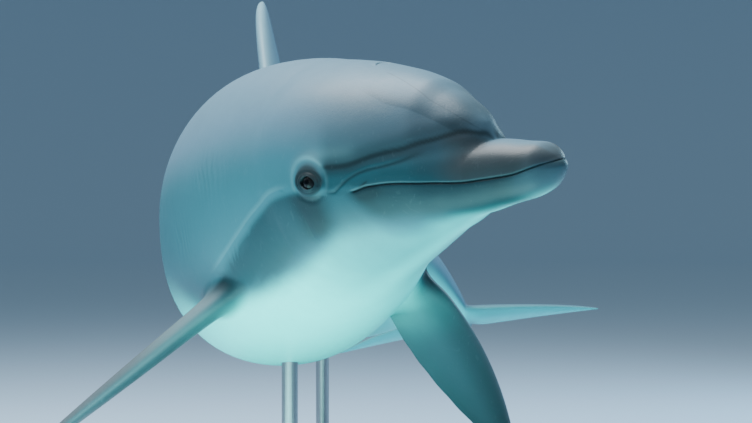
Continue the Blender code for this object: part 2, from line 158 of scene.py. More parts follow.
# pale underside: station, angle where it starts, angle where it is full
PALE = [(0.0, 130, 172), (0.03, 122, 166), (0.066, 113, 156), (0.1, 111, 152),
        (0.16, 112, 154), (0.2, 113, 156), (0.23, 117, 162), (0.258, 110, 154),
        (0.285, 98, 140), (0.305, 96, 134), (0.34, 104, 130), (0.4, 120, 137),
        (0.46, 127, 146), (0.53, 130, 147), (0.6, 129, 146), (0.7, 124, 146),
        (0.85, 110, 146), (1.2, 98, 142), (1.6, 84, 136), (2.0, 66, 128), (2.47, 70, 125)]
# the light band over the brow is a painted highlight, where the light from above falls on the
# brow's ridge
BROW_LIGHT = [(0.28, 66), (0.315, 67), (0.35, 68)]     # light band over the brow
# the crease at the mouth's corner has no relief; it is only painted as a line of shade
CORNER_CREASE = [(0.25, 84), (0.284, 93)]              # short crease at the mouth's corner
# dark stripe from the eye to the flipper: station, angle of its upper edge
STRIPE = [(0.33, 84), (0.427, 92), (0.479, 102), (0.545, 114), (0.605, 122), (0.7, 130)]

# mesh: local distance between rows (m) and between columns (degrees)
ROW_SPACING = [(0, 0.0002), (0.002, 0.0006), (0.007, 0.0015), (0.03, 0.0025),
               (0.09, 0.0025), (0.1, 0.0013), (0.122, 0.0015), (0.15, 0.0027),
               (0.26, 0.0027), (0.275, 0.0016), (0.295, 0.0016), (0.32, 0.0023),
               (0.385, 0.0023), (0.43, 0.004), (0.5, 0.0075), (0.6, 0.013),
               (2.2, 0.0135), (2.32, 0.008), (2.47, 0.0065)]
UPPER_COLUMNS = [(0, 2.2), (62, 2.2), (70, 0.9), (86, 0.8), (88, 0.45), (90, 0.45)]
LOWER_COLUMNS = [(90, 0.45), (93, 0.5), (96, 1.1), (102, 2.2), (180, 2.9)]
FIRST_ROWS = [1.5e-5, 1e-4]         # rings close round the tip of the snout
HEAD_ROWS_END = 0.5
END_LENGTH = 0.007                  # of the round end of the tail stock

# studio: flat rings of the floor, where the wall's bend starts and its radius,
# the floor's drop below the stand; lamps as place, aim, size and tint; the camera
FLOOR_RINGS, WALL_START, WALL_BEND, FLOOR_DROP = [0.5, 4.0, 12.0], 18.0, 7.0, 0.0005
LAMPS = {'top': ((-1.0, -0.1, 3.4), (-0.1, -0.2, 0.6), 2.2, (0.95, 0.98, 1.0)),
         'fill': ((-2.4, -3.6, 1.3), (0.0, -0.4, 0.6), 1.6, (0.8, 0.96, 1.0)),
         'under': ((-0.22, -0.78, 0.06), (-0.15, -0.55, 0.5), 0.9, (0.38, 1.0, 0.95)),
         'rim': ((2.4, 1.6, 1.5), (0.25, 0.7, 0.5), 1.4, (0.42, 0.78, 1.0))}
AIR_STRENGTH = 0.32
CAMERA_PLACE, LENS = (0.04, -3.35, 0.62), 83.53723     # on a sensor 36 mm wide


# ---------------------------------------------------------------- functions
def spline(knots, s):
    """Natural cubic spline through (station, value) pairs: its second
    derivatives solve one linear system."""
    x, y = np.array(knots, float).T
    n, h = len(x), np.diff(x)
    a, b = np.eye(n), np.zeros(n)
    for i in range(1, n - 1):
        a[i, i - 1:i + 2] = h[i - 1], 2 * (h[i - 1] + h[i]), h[i]
        b[i] = 6 * ((y[i + 1] - y[i]) / h[i] - (y[i] - y[i - 1]) / h[i - 1])
    m = np.linalg.solve(a, b)
    s = np.asarray(s, float)
    i = np.clip(np.searchsorted(x, s) - 1, 0, n - 2)
    t, w = s - x[i], h[i]
    u = w - t
    return ((m[i] * u ** 3 + m[i + 1] * t ** 3) / (6 * w)
            + (y[i] / w - m[i] * w / 6) * u + (y[i + 1] / w - m[i + 1] * w / 6) * t)


def column(table, i):
    """(station, value) pairs from a table whose rows hold several values"""
    return [(row[0], row[i]) for row in table]


def hermite(t, y0, y1, m0, m1):
    """Cubic from y0 to y1 with slopes m0 and m1, t from 0 to 1."""
    return ((2 * t ** 3 - 3 * t ** 2 + 1) * y0 + (t ** 3 - 2 * t ** 2 + t) * m0
            + (-2 * t ** 3 + 3 * t ** 2) * y1 + (t ** 3 - t ** 2) * m1)


def curve(knots, s):
    """Monotone cubic through (station, value) pairs: Hermite pieces whose end
    slopes are harmonic means of the chord slopes, so it never overshoots."""
    x, y = np.array(knots, float).T
    h = np.diff(x)
    d = np.diff(y) / h
    m = np.zeros_like(x)
    m[0], m[-1] = d[0], d[-1]
    for i in range(1, len(x) - 1):
        if d[i - 1] * d[i] > 0:
            w1, w2 = 2 * h[i] + h[i - 1], h[i] + 2 * h[i - 1]
            m[i] = (w1 + w2) / (w1 / d[i - 1] + w2 / d[i])
    s = np.asarray(s, float)
    i = np.clip(np.searchsorted(x, s) - 1, 0, len(x) - 2)
    return hermite((s - x[i]) / h[i], y[i], y[i + 1], h[i] * m[i], h[i] * m[i + 1])


def held(knots, s):
    """curve(), kept at its end values outside its stations"""
    return curve(knots, np.clip(s, knots[0][0], knots[-1][0]))


def step(x, lo, hi):
    """Smooth step, 3t^2 - 2t^3, from 0 at lo to 1 at hi."""
    t = np.clip((x - lo) / (hi - lo), 0, 1)
    return t * t * (3 - 2 * t)


def plateau(x, a, b, c, d):
    """0 up to a, 1 from b to c, 0 again from d, by smooth steps"""
    return step(x, a, b) * (1 - step(x, c, d))


def within(s, a, b, soft):
    """1 between two stations, fading out over a length at either end"""
    return plateau(s, a - soft, a, b, b + soft)


def ridge(x, w):
    """Bell of height 1 and half width w: exp(-(x/w)^2)."""
    return np.exp(-(x / w) ** 2)


def soft_max(a, b, k):
    """The larger of two values, plus h^2 k / 4 where they are closer than k."""
    h = np.maximum(k - np.abs(a - b), 0) / k
    return np.maximum(a, b) + h * h * k / 4


def ellipse_ray(half_w, half_h, centre, pole, sn, cs):
    """Distance from the pole to an ellipse on the midline, from the quadratic
    for a ray; 0 where the ray misses it."""
    e = pole - centre
    a = (sn / half_w) ** 2 + (cs / half_h) ** 2
    b = e * cs / half_h ** 2
    d = b * b - a * ((e / half_h) ** 2 - 1)
    return np.where(d > 0, (-b + np.sqrt(np.maximum(d, 0))) / a, 0.0).clip(0)


def blunt(behind, length):
    """share of the full size that far behind a rounded tip: 1 - (1 - x)^2.6,
    square rooted"""
    full = 1 - ((length - behind) / length).clip(0) ** 2.6
    return np.sqrt(np.clip(full, 0, None) + 1e-9)


def radius(s, angle, tip=None):
    """Polar radius of the straight body at a station, and the height of its
    pole: a rounded maximum of the jaws' superellipse, the melon's ellipse and
    the trunk's ellipse.  tip is the distance behind each jaw's own tip."""
    s, angle = np.asarray(s, float), np.asarray(angle, float)
    sn, cs = np.sin(angle), np.cos(angle)
    pole = curve(MOUTH, s)
    sh = np.minimum(s, 0.45)
    above, below = (s, s + JAW_LEAD) if tip is None else (tip, tip)
    upper, lower = blunt(above, BLUNT_UPPER), blunt(below, BLUNT_LOWER)
    width = curve(JAW_WIDTH, sh) * np.where(cs > 0, upper, lower)
    rise, drop = (curve(column(JAWS, i), sh) for i in (1, 2))
    height = np.where(cs > 0, rise * upper, drop * lower)
    jaws = (np.abs(sn / width) ** 2.25 + np.abs(cs / height) ** 2.25) ** (-1 / 2.25)
    top, half = (curve(column(MELON, i), sh) for i in (1, 2))
    melon = ellipse_ray(half, (top - MELON_FLOOR) / 2, (top + MELON_FLOOR) / 2, pole, sn, cs)
    melon = np.where(s < CREASE, 0, melon)
    back, belly, half = (spline(column(TRUNK, i), s) for i in (1, 2, 3))
    trunk = ellipse_ray(half, (back - belly) / 2, (back + belly) / 2, pole, sn, cs)
    full = plateau(s, 0.42, 0.6, 0.9, 1.3) * (cs < 0)
    trunk = trunk * step(s, 0.1, 0.2) * (1 + CHEST_FULLNESS * full * np.sin(2 * angle) ** 2)
    fade = (1 - step(s, 0.4, 0.62)) * (1 if tip is None else step(s, 0.01, 0.05))
    head = soft_max(jaws, melon, (0.01 + 0.05 * step(s, 0.11, 0.4)) * fade + 1e-6)
    return soft_max(head * (1 - step(s, 0.42, 0.8)), trunk, 0.03 * fade + 1e-6), pole


class Spine:
    """The bent axis of the body: the running integral of a forward direction
    given by yaw and pitch, with rolled up and left directions square to it."""

    def __init__(self):
        self.s = np.linspace(-0.05, 2.65, 1081)
        y, p, r = (np.radians(spline(k, self.s)) for k in (YAW, PITCH, ROLL))
        forward = np.stack([np.sin(y) * np.cos(p), -np.cos(y) * np.cos(p), np.sin(p)], -1)
        up0 = np.array([0, 0, 1.0]) - forward * forward[:, 2:]
        up0 /= np.linalg.norm(up0, axis=1)[:, None]
        side0 = np.cross(up0, forward)
        up = up0 * np.cos(r)[:, None] + side0 * np.sin(r)[:, None]
        self.axes = [forward, up, np.cross(up, forward)]
        ds = self.s[1] - self.s[0]
        steps = (forward[1:] + forward[:-1]) / 2 * ds
        run = -np.concatenate([np.zeros((1, 3)), np.cumsum(steps, 0)])
        self.line = run - self.read(run, ANCHOR_STATION) + np.array(ANCHOR)

    def read(self, v, s):
        return np.stack([np.interp(s, self.s, v[:, i]) for i in range(3)], -1)

    def frame(self, s):
        axes = [self.read(v, s) for v in self.axes]
        axes = [v / np.linalg.norm(v, axis=-1, keepdims=True) for v in axes]
        return [self.read(self.line, s)] + axes

    def place(self, s, left, up):
        c, _, u, w = self.frame(s)
        return c + w * np.asarray(left)[..., None] + u * np.asarray(up)[..., None]


SPINE = Spine()


def side_angle(a):
    """angle from the back, 0 to pi, the same on both sides"""
    return np.abs((np.asarray(a) + pi) % (2 * pi) - pi)


def off_line(knots, s, side, r):
    """Distance across a line on the skin given as (station, angle) pairs:
    the arc r (a - line), shortened by the line's own slope."""
    line = np.radians(held(knots, s))
    slope = (np.radians(held(knots, s + 0.002)) - line) / 0.002 * r
    return r * (side - line) / np.sqrt(1 + slope ** 2)


def off_mouth(s, side, r):
    """distance down the skin from the line of the mouth"""
    return r * (side - (pi / 2 + radians(1.8) * step(s, 0.262, 0.284)))


def off_eye(s, side):
    """place (m) about the middle of the eye's mound, and how far out that is as
    a share of the mound's size"""
    x, y = s - EYE_STATION, MOUND_ARC * (side - radians(EYE_ANGLE - 0.8))
    return x, y, np.hypot(x / MOUND_LENGTH, y / MOUND_HEIGHT)


def relief(s, side, r, look):
    """Height of the skin's own forms over the plain body: lips and groove of
    the mouth, the groove under the melon, the cheek fold, the mound, socket and
    brow round the eye, each a bell across its line."""
    d = off_mouth(s, side, r)
    gape = (1 - step(s, 0.279, 0.291)) * (0.25 + 0.75 * step(s, -0.004, 0.016))
    hollow = 0.0004 * np.exp(-(np.abs(d) / 0.005) ** 1.6)
    h = -gape * (look.mouth_depth * ridge(d, 0.0012) + hollow)
    h += gape * (0.0002 * ridge(d + 0.004, 0.0022) + 0.0002 * ridge(d - 0.0055, 0.0032))
    # groove under the melon
    d = off_line(BRIDLE, s, side, r)
    on = within(s, 0.118, 0.3, 0.02) * (1 - 0.5 * step(s, 0.16, 0.3))
    h += on * (-0.0018 * ridge(d, 0.006) + 0.0009 * ridge(d + 0.015, 0.01))
    # low ledge along the edge of the melon's band
    ledge = step(off_line(MELON_BAND, s, side, r), 0.005, -0.004)
    h += 0.0006 * within(s, 0.15, 0.25, 0.03) * ledge
    # cheek fold
    d = off_line(CHEEK_FOLD, s, side, r)
    fold = -0.0008 * ridge(d, 0.002) + 0.0005 * ridge(d + 0.005, 0.0035)
    h += within(s, 0.215, 0.302, 0.03) * fold
    # mound of the eye with a groove and a ring round it, highest over the brow
    x, y, e = off_eye(s, side)
    h += 0.0036 * np.exp(-e ** 4) - 0.0012 * ridge(e - 1.1, 0.18)
    brow = step(-y, -0.004, 0.02) * step(x, -0.04, -0.005)
    h += (0.0004 + 0.0014 * brow) * ridge(e - 1.3, 0.2)
    # small folds round the lids, in rings about the opening
    ring = np.hypot(x / 1.35, y - 0.003)
    h += 0.00012 * np.sin(ring * 2 * pi / 0.0029) * within(ring, 0.0125, 0.017, 0.003)
    # opening of the ear, behind the eye
    h -= 0.001 * ridge(np.hypot(s - 0.405, 0.15 * (side - radians(88))), 0.002)
    # throat creases
    under = plateau(side, radians(98), radians(112), radians(146), radians(168))
    for at in THROAT_CREASES:
        h -= 0.0008 * under * ridge(s - at - 0.006 * np.sin(side * 3), 0.0035)
    # shallow folds along the belly
    h -= 0.0035 * ridge(r * (side - pi), 0.006) * within(s, 1.6, 1.74, 0.02)
    h -= 0.004 * np.exp(-((s - 1.23) / 0.009) ** 2 - (r * (side - pi) / 0.006) ** 2)
    return h


def hide(q, a, look):
    """World points of the skin.  q is the station counted from the tip of the
    jaw that the point is on: the lower jaw's is JAW_LEAD further forward, which
    fades out over 50 mm.  The radius and its relief are laid along the spine.
    On the blunt front of the jaws the lead grows smoothly with the depth below
    the mouth's line, and the line itself is a groove."""
    q, a = np.broadcast_arrays(np.asarray(q, float), np.asarray(a, float))
    side = side_angle(a)
    low = step(side, pi / 2 - 0.12, pi / 2 + 0.12)
    lead = JAW_LEAD * (1 - step(q, 0, 0.05))
    s = q - lead * low
    r, pole = radius(s, a, q)
    r = r + relief(s, side, r, look) * np.minimum(r / 0.02, 1)
    up = r * np.cos(a)
    front = 1 - step(q, 0.004, 0.022)
    s = s - lead * front * (step(-up, -0.006, 0.01) - low)
    s = s + 0.0014 * ridge(up, 0.0011) * (1 - step(q, 0.002, 0.012))
    return SPINE.place(s, -r * np.sin(a), pole + up)


def plain_skin(s, a):
    """world points of the solids' own surface, without relief"""
    r, pole = radius(np.asarray(s, float), np.asarray(a, float))
    return SPINE.place(s, -r * np.sin(a), pole + r * np.cos(a))


def unit(v):
    return v / np.maximum(np.linalg.norm(v, axis=-1, keepdims=True), 1e-12)


def outward(q, a, look):
    """Unit normal of the skin: the cross product of differences along and
    round the body, turned away from the spine."""
    e = 1e-3
    n = unit(np.cross(hide(q, a + 5 * e, look) - hide(q, a - 5 * e, look),
                      hide(q + e, a, look) - hide(q - e, a, look)))
    away = hide(q, a, look) - SPINE.read(SPINE.line, q)
    return n * np.sign((n * away).sum(-1, keepdims=True))


def spread(knots, count=None):
    """Places whose local spacing follows (place, spacing) pairs: the running
    integral of 1/spacing, cut into equal shares."""
    x = np.linspace(knots[0][0], knots[-1][0], 6001)
    rate = 1 / np.interp(x, *np.array(knots, float).T)
    total = np.concatenate([[0], np.cumsum((rate[1:] + rate[:-1]) / 2 * np.diff(x))])
    n = count or int(round(total[-1]))
    return np.interp(np.linspace(0, total[-1], n + 1), total, x)


def bezier(points, t):
    """Cubic Bezier curve of four points, by Bernstein weights."""
    p, t = np.array(points, float), np.asarray(t)[..., None]
    return ((1 - t) ** 3 * p[0] + 3 * (1 - t) ** 2 * t * p[1]
            + 3 * (1 - t) * t * t * p[2] + t ** 3 * p[3])


def foil(plan, t, turn):
    """Loops of a fin as (back, out, normal).  At span t the chord runs from the
    leading to the trailing edge curve; turn is the angle round the section,
    0 at the trailing edge, and the half thickness goes as sqrt(c)(1-c)."""
    chord = (1 + np.cos(turn)) / 2
    nose = 0.12 * np.sqrt(np.clip(chord * (1 - chord), 0, None))
    half = 1.3 * np.sqrt(chord) * (1 - chord) + nose
    half = half / FOIL_PEAK / 2 * np.sign(-np.sin(turn))
    lead, trail = bezier(plan['lead'], t), bezier(plan['trail'], t)
    flat = lead[:, None] + (trail - lead)[:, None] * chord[None, :, None]
    thick = curve(plan['thick'], t) * np.sqrt(np.clip(1 - t ** 6, 0.0, 1)) + 0.0008
    flare = 1 + ROOT_FLARE * np.exp(-t * np.linalg.norm(lead[-1]) / FLARE_REACH)
    mid = flat.mean(1, keepdims=True)[..., 0]
    flat[..., 0] = mid + (flat[..., 0] - mid) * (1 + (flare[:, None] - 1) * 0.35)
    return np.concatenate([flat, ((thick * flare)[:, None] * half)[..., None]], -1)


def fin_points(grid, origin, back, out):
    """world points of a fin grid hung on its own axes"""
    normal = np.cross(back, out)
    return origin + grid[..., :1] * back + grid[..., 1:2] * out + grid[..., 2:] * normal


def together(*values):
    """arrays spread over one shape and stacked as the parts of points"""
    return np.stack(np.broadcast_arrays(*values), -1)


def turned(x, y, angle):
    """a pair turned by an angle, x towards y"""
    return x * cos(angle) - y * sin(angle), x * sin(angle) + y * cos(angle)


def darken(marks, by):
    """add to the darkness among point values, up to 1"""
    marks[..., 1] = np.clip(marks[..., 1] + by, 0, 1)


# ------------------------------------------------------------------ markings
def markings(s, a, r=None):
    """Named values at points of the body, each from 0 to 1, made of smooth
    steps and bells in station and angle: how pale, how dark (dark marks with
    painted shade in grooves, folds and on sides turned from the light above),
    how light (light marks with painted highlights), how far into the cape, how
    warm a grey, and where the skin is wrinkled (above 0 on the neck, below 0 on
    the throat).  Then the distances (in cm) across the melon's line and band and
    the light ray before the stripe, which the material draws finer than the mesh,
    and how strong each is there."""
    r = radius(s, a)[0] if r is None else r
    side = side_angle(a)
    deg = np.degrees(side)
    # pale underside, fainter on the jaw and throat, gone at either end
    faint = (0.5 + 0.14 * ridge(s - 0.3, 0.08)) * (1 - step(s, 0.36, 0.58))
    pale = step(deg, held(column(PALE, 1), s), held(column(PALE, 2), s))
    pale *= (1 - faint * (1 - 0.35 * step(deg, 160, 180))) * step(s, 0.0, 0.045)
    pale *= 1 - 0.85 * step(s, 2.26, 2.44)
    cape = 1 - step(deg, 34 + 18 * step(s, 0.3, 0.8), 92)
    # line of the mouth, a dark line of painted shade in its groove, and shade under it
    d = mouth = off_mouth(s, side, r)
    gape = 1 - step(s, 0.28, 0.29)
    dark = gape * 0.6 * ridge(d, 0.001)
    shade = 0.84 * (1 - 0.75 * step(s + 0.0008 * (deg - 92), 0.268, 0.306)
                    - 0.25 * step(s, 0.32, 0.4))
    shade *= plateau(d, -0.001, 0.0015, 0.034, 0.085) * (0.18 + 0.82 * step(s, 0.0, 0.085))
    dark += 0.3 * ridge(s - 0.262, 0.016) * ridge(d - 0.009, 0.008)
    # groove under the melon and on to the brow: painted shade in it, darkest near the eye, and
    # shade on the side below it
    d = off_line(BRIDLE, s, side, r)
    along = within(s, 0.112, 0.318, 0.02)
    lower = 4 * step(s, 0.272, 0.292)
    groove = 0.34 * ridge(d, 0.0024 + 0.0016 * step(s, 0.14, 0.3))
    dark += along * (groove + 0.24 * ridge(d + 0.005, 0.012))
    shade = np.maximum(shade, 0.68 * along * step(d, -0.006, 0.01)
                       * (1 - 0.12 * ridge(d - 0.019, 0.007))
                       * (1 - step(deg, 88 - lower, 92 + 2 * lower)))
    # painted shade along the cheek fold and the crease at the mouth's corner
    fold = ridge(off_line(CHEEK_FOLD, s, side, r), 0.0022)
    crease = ridge(off_line(CORNER_CREASE, s, side, r), 0.0014)
    dark += 0.2 * within(s, 0.2, 0.305, 0.03) * fold
    dark += 0.26 * within(s, 0.262, 0.28, 0.006) * crease
    # line and band of the melon, and a touch of shade at its apex
    m = off_line(MELON_LINE, s, side, r)
    e = off_line(MELON_BAND, s, side, r)
    line_on = within(s, 0.124, 0.262, 0.02)
    band_on = within(s, 0.134, 0.262, 0.03) * (1 - 0.35 * step(s, 0.17, 0.27))
    dark += 0.06 * plateau(s, 0.103, 0.108, 0.12, 0.15) * plateau(deg, -8, 20, 24, 34)
    # sides of the beak, darker than its top: painted shade, the light falling from above
    beak = 0.72 * (1 - step(s, 0.125, 0.155)) * (0.4 + 0.6 * step(s, 0.0, 0.05))
    shade = np.maximum(shade, beak * plateau(deg, 22, 56, 88, 92))
    # cheek between the corner of the mouth and the eye
    dark += np.maximum(shade, 0.45 * ridge(s - 0.312, 0.022) * plateau(deg, 74, 80, 84, 100))
    # side of the melon, darker down to the groove: painted shade on the side turned from the light
    # above
    below = within(s, 0.14, 0.31, 0.04) * plateau(d, -0.115, -0.012, -0.008, 0.01)
    dark += 0.42 * below
    # stripe from eye to flipper, and shade under the eye
    edge = held(STRIPE, s)
    stripe = within(s, 0.372, 0.6, 0.06) * plateau(deg, edge - 2, edge + 4, edge + 26, edge + 50)
    dark += 0.72 * stripe * (1 - pale) * (1 - 0.45 * step(pale, 0.0, 0.5))
    under = within(s, 0.3, 0.36, 0.05) * plateau(deg, 88, 94, 108, 130)
    dark += 0.3 * under * (1 - step(pale, 0.0, 0.6))
    ray = r * np.radians(deg - edge + 3)
    ray_on = within(s, 0.43, 0.6, 0.05)
    # eye: dark mound of the eye patch in a light ring, which is broad and bright over the brow;
    # that bright part and the band along the brow are a painted highlight, where the light from
    # above falls on the brow's ridge
    x, y, eye = off_eye(s, side)
    mound = (0.98 - 0.22 * step(-y, -0.004, 0.012)) * (1 - step(eye, 0.66, 1.12))
    dark = np.maximum(dark, mound)
    brow = step(-y, -0.006, 0.024) * (1 - 0.5 * step(x, 0.004, 0.026))
    light = ridge(eye - 1.22, 0.1 + 0.05 * brow) * (0.2 + 0.24 * brow)
    over = ridge(off_line(BROW_LIGHT, s, side, r), 0.01)
    light += 0.26 * within(s, 0.29, 0.335, 0.03) * over
    light += 0.07 * within(s, 0.135, 0.215, 0.04) * ridge(d - 0.017, 0.006)
    # painted highlight along the edge of the upper lip, over the mouth's line
    light += 0.06 * gape * ridge(mouth + 0.0028, 0.0012)
    # warmer grey on the brow, the beak, the jaw's tip and the side of the melon, where it also
    # greys the painted shade
    top = np.maximum(step(deg, 12, 40), 1 - step(s, 0.0, 0.035)) * (1 - step(deg, 84, 91))
    cheek = ridge(s - 0.27, 0.1) * plateau(deg, 18, 34, 60, 74)
    warm = np.maximum.reduce([0.75 * (1 - step(eye, 0.6, 1.1)) * step(-y, -0.012, 0.006),
                              0.9 * (1 - step(s, 0.125, 0.175)) * top,
                              0.45 * np.maximum(below, cheek),
                              0.5 * (1 - step(s, 0.02, 0.11)) * step(deg, 87, 93)])
    neck = 0.8 * (ridge(s - 0.6, 0.055) * ridge(deg - 77, 12)
                  + ridge(s - 0.72, 0.035) * ridge(deg - 104, 9))
    throat = 0.5 * within(s, 0.34, 0.48, 0.05) * plateau(deg, 98, 112, 145, 165)
    return np.stack([pale, np.clip(dark, 0, 1), np.clip(light, 0, 1), cape, warm, neck - throat]
                    + [np.clip(100 * v, -5, 5) for v in (m, e, ray)]
                    + [line_on, band_on, ray_on], -1)


def fin_marks(t, turn, kind, top):
    """The same values on a fin: warmer above, darker towards the leading edge,
    with a thin light rim along the edge itself.  The flipper's underside is
    darker, painted shade under the light from above; on the dorsal fin and the
    flukes the light rim is a painted highlight on the rounded leading edge."""
    chord = (1 + np.cos(turn))[None, :] / 2 + 0 * t[:, None]
    up = 0.5 - 0.5 * np.sin(turn)[None, :] * top + 0 * t[:, None]
    span = t[:, None] + 0 * chord
    over = step(up, 0.35, 0.65)
    warm = 0 * span
    if kind == 'flipper':
        pale = (1 - over) * (0.34 * (1 - step(span, 0.04, 0.36)) + 0.12 * step(chord, 0.3, 0.9))
        dark = (1 - over) * (0.38 + 0.3 * (1 - step(chord, 0.05, 0.5))) + 0.1 * over
        warm, cape = 0.55 + 0.35 * over, 0.55 * over
        light = 0.3 * over * (1 - step(span, 0.1, 0.5))
    elif kind == 'fluke':
        pale, cape = 0.45 * (1 - over) + 0.12, 0.6 * over
        dark = 0.16 * over + 0.18 * ridge(chord - 0.12, 0.12)
        light = 0.2 * ridge(chord, 0.04)
    else:
        pale, cape = 0.05 + 0 * span, 0.9 + 0 * span
        dark = 0.1 * ridge(chord - 0.6, 0.5)
        light = 0.35 * ridge(chord, 0.1)
    return np.stack([pale, dark, light, cape, warm] + [0 * span] * 7, -1)


# ----------------------------------------------------------------- the shell
class Shell:
    """Points, faces and chart of one closed surface, gathered patch by patch
    as whole arrays.  Each patch is a grid of point numbers."""
    VALUES = ('tone', 'cover', 'lines', 'amount')     # attributes, three values each

    def __init__(self):
        self.points, self.marks, self.count = [], [], 0
        self.faces, self.charts = {3: [], 4: []}, {3: [], 4: []}

    def add(self, points, marks):
        """numbers of new points, in the shape of their grid"""
        shape = points.shape[:-1]
        self.points.append(points.reshape(-1, 3))
        self.marks.append(np.broadcast_to(marks, shape + (12,)).reshape(-1, 12))
        ids = self.count + np.arange(int(np.prod(shape))).reshape(shape)
        self.count += ids.size
        return ids

    def weave(self, ids, chart, keep=None):
        """quads between neighbours of a grid, with their corners' chart places"""
        def corners(v):
            return np.stack([v[:-1, :-1], v[:-1, 1:], v[1:, 1:], v[1:, :-1]], 2)
        q, c = corners(ids), corners(chart)
        keep = np.ones(q.shape[:2], bool) if keep is None else keep
        self.faces[4].append(q[keep])
        self.charts[4].append(c[keep])

    def triangles(self, ids, chart):
        self.faces[3].append(ids.reshape(-1, 3))
        self.charts[3].append(chart.reshape(-1, 3, 2))

    def fan(self, ring, chart, point, marks, middle):
        """triangles from a closed ring, whose first point is repeated, to a new
        point, whose chart place is the middle"""
        centre = self.add(np.reshape(point, (1, 3)), marks)[0]
        n = len(ring) - 1
        self.triangles(np.stack([ring[:-1], ring[1:], np.full(n, centre)], 1),
                       np.stack([chart[:-1], chart[1:], np.broadcast_to(middle, (n, 2))], 1))

    def tube(self, ids, chart, *end):
        """a grid of closed rings, with a fan over its last one"""
        ids = closed(ids)
        self.weave(ids, chart)
        self.fan(ids[-1], chart[-1], *end)

    def mesh(self, name):
        """the finished mesh, outward faces, with its chart and point values"""
        sizes = [k for k in (3, 4) if self.faces[k]]
        faces = sum((np.concatenate(self.faces[k]).tolist() for k in sizes), [])
        me = bpy.data.meshes.new(name)
        me.from_pydata(np.concatenate(self.points).tolist(), [], faces)
        chart = np.concatenate([np.concatenate(self.charts[k]).ravel() for k in sizes])
        me.uv_layers.new(name="OFBake").uv.foreach_set('vector', chart.astype(np.float32))
        marks = np.concatenate(self.marks).astype(np.float32)
        for k, title in enumerate(self.VALUES):
            values = me.attributes.new(title, 'FLOAT_VECTOR', 'POINT').data
            values.foreach_set('vector', marks[:, 3 * k:3 * k + 3].ravel())
        me.update()
        me.validate(clean_customdata=False)
        bm = bmesh.new()
        bm.from_mesh(me)
        bmesh.ops.recalc_face_normals(bm, faces=bm.faces)
        bm.to_mesh(me)
        bm.free()
        me.shade_smooth()
        return me


def closed(grid):
    """a grid of closed rings with the first column repeated at the end"""
    return np.concatenate([grid, grid[:, :1]], 1)


class Window:
    """A rectangle of cells taken out of a grid, half_s (m) and half_a (degrees)
    to either side of its centre, and its border in order: point numbers,
    (station, angle) and chart places.  turn is the direction of each border
    point from the middle, with both sides scaled to 1."""

    def __init__(self, ids, q, a, chart, keep, centre, half_s, half_a):
        self.centre = s0, a0 = centre
        rows = np.flatnonzero(np.abs(q[:, 0] - s0) <= half_s)
        i0, i1 = rows[0], rows[-1]
        cols = np.flatnonzero(np.abs(a[(i0 + i1) // 2] - a0) <= radians(half_a))
        j0, j1 = cols[0], cols[-1]
        keep[i0:i1, j0:j1] = False
        down, right = np.arange(i0, i1), np.arange(j0, j1)
        i = np.concatenate([right * 0 + i0, down, right * 0 + i1, down[::-1] + 1])
        j = np.concatenate([right, down * 0 + j1, right[::-1] + 1, down * 0 + j0])
        self.ids, self.q, self.a, self.chart = ids[i, j], q[i, j], a[i, j], chart[i, j]
        du = self.q - (q[i0, 0] + q[i1, 0]) / 2
        dv = self.a - (a[i0, j0] + a[i1, j1] + a[i0, j1] + a[i1, j0]) / 4
        self.turn = np.arctan2(dv / np.abs(dv).max(), du / np.abs(du).max())
        self.middle = self.chart.mean(0)

    def rows(self, q1, a1, k):
        """(station, angle) of rows from the border towards other places"""
        k = k[:, None]
        return self.q + (q1 - self.q) * k, self.a + (a1 - self.a) * k

    def shrunk(self, k):
        """closed chart rows, the border drawn towards its middle by 0 to 1"""
        k = np.asarray(k)[:, None, None]
        return closed(self.chart + (self.middle - self.chart) * k)


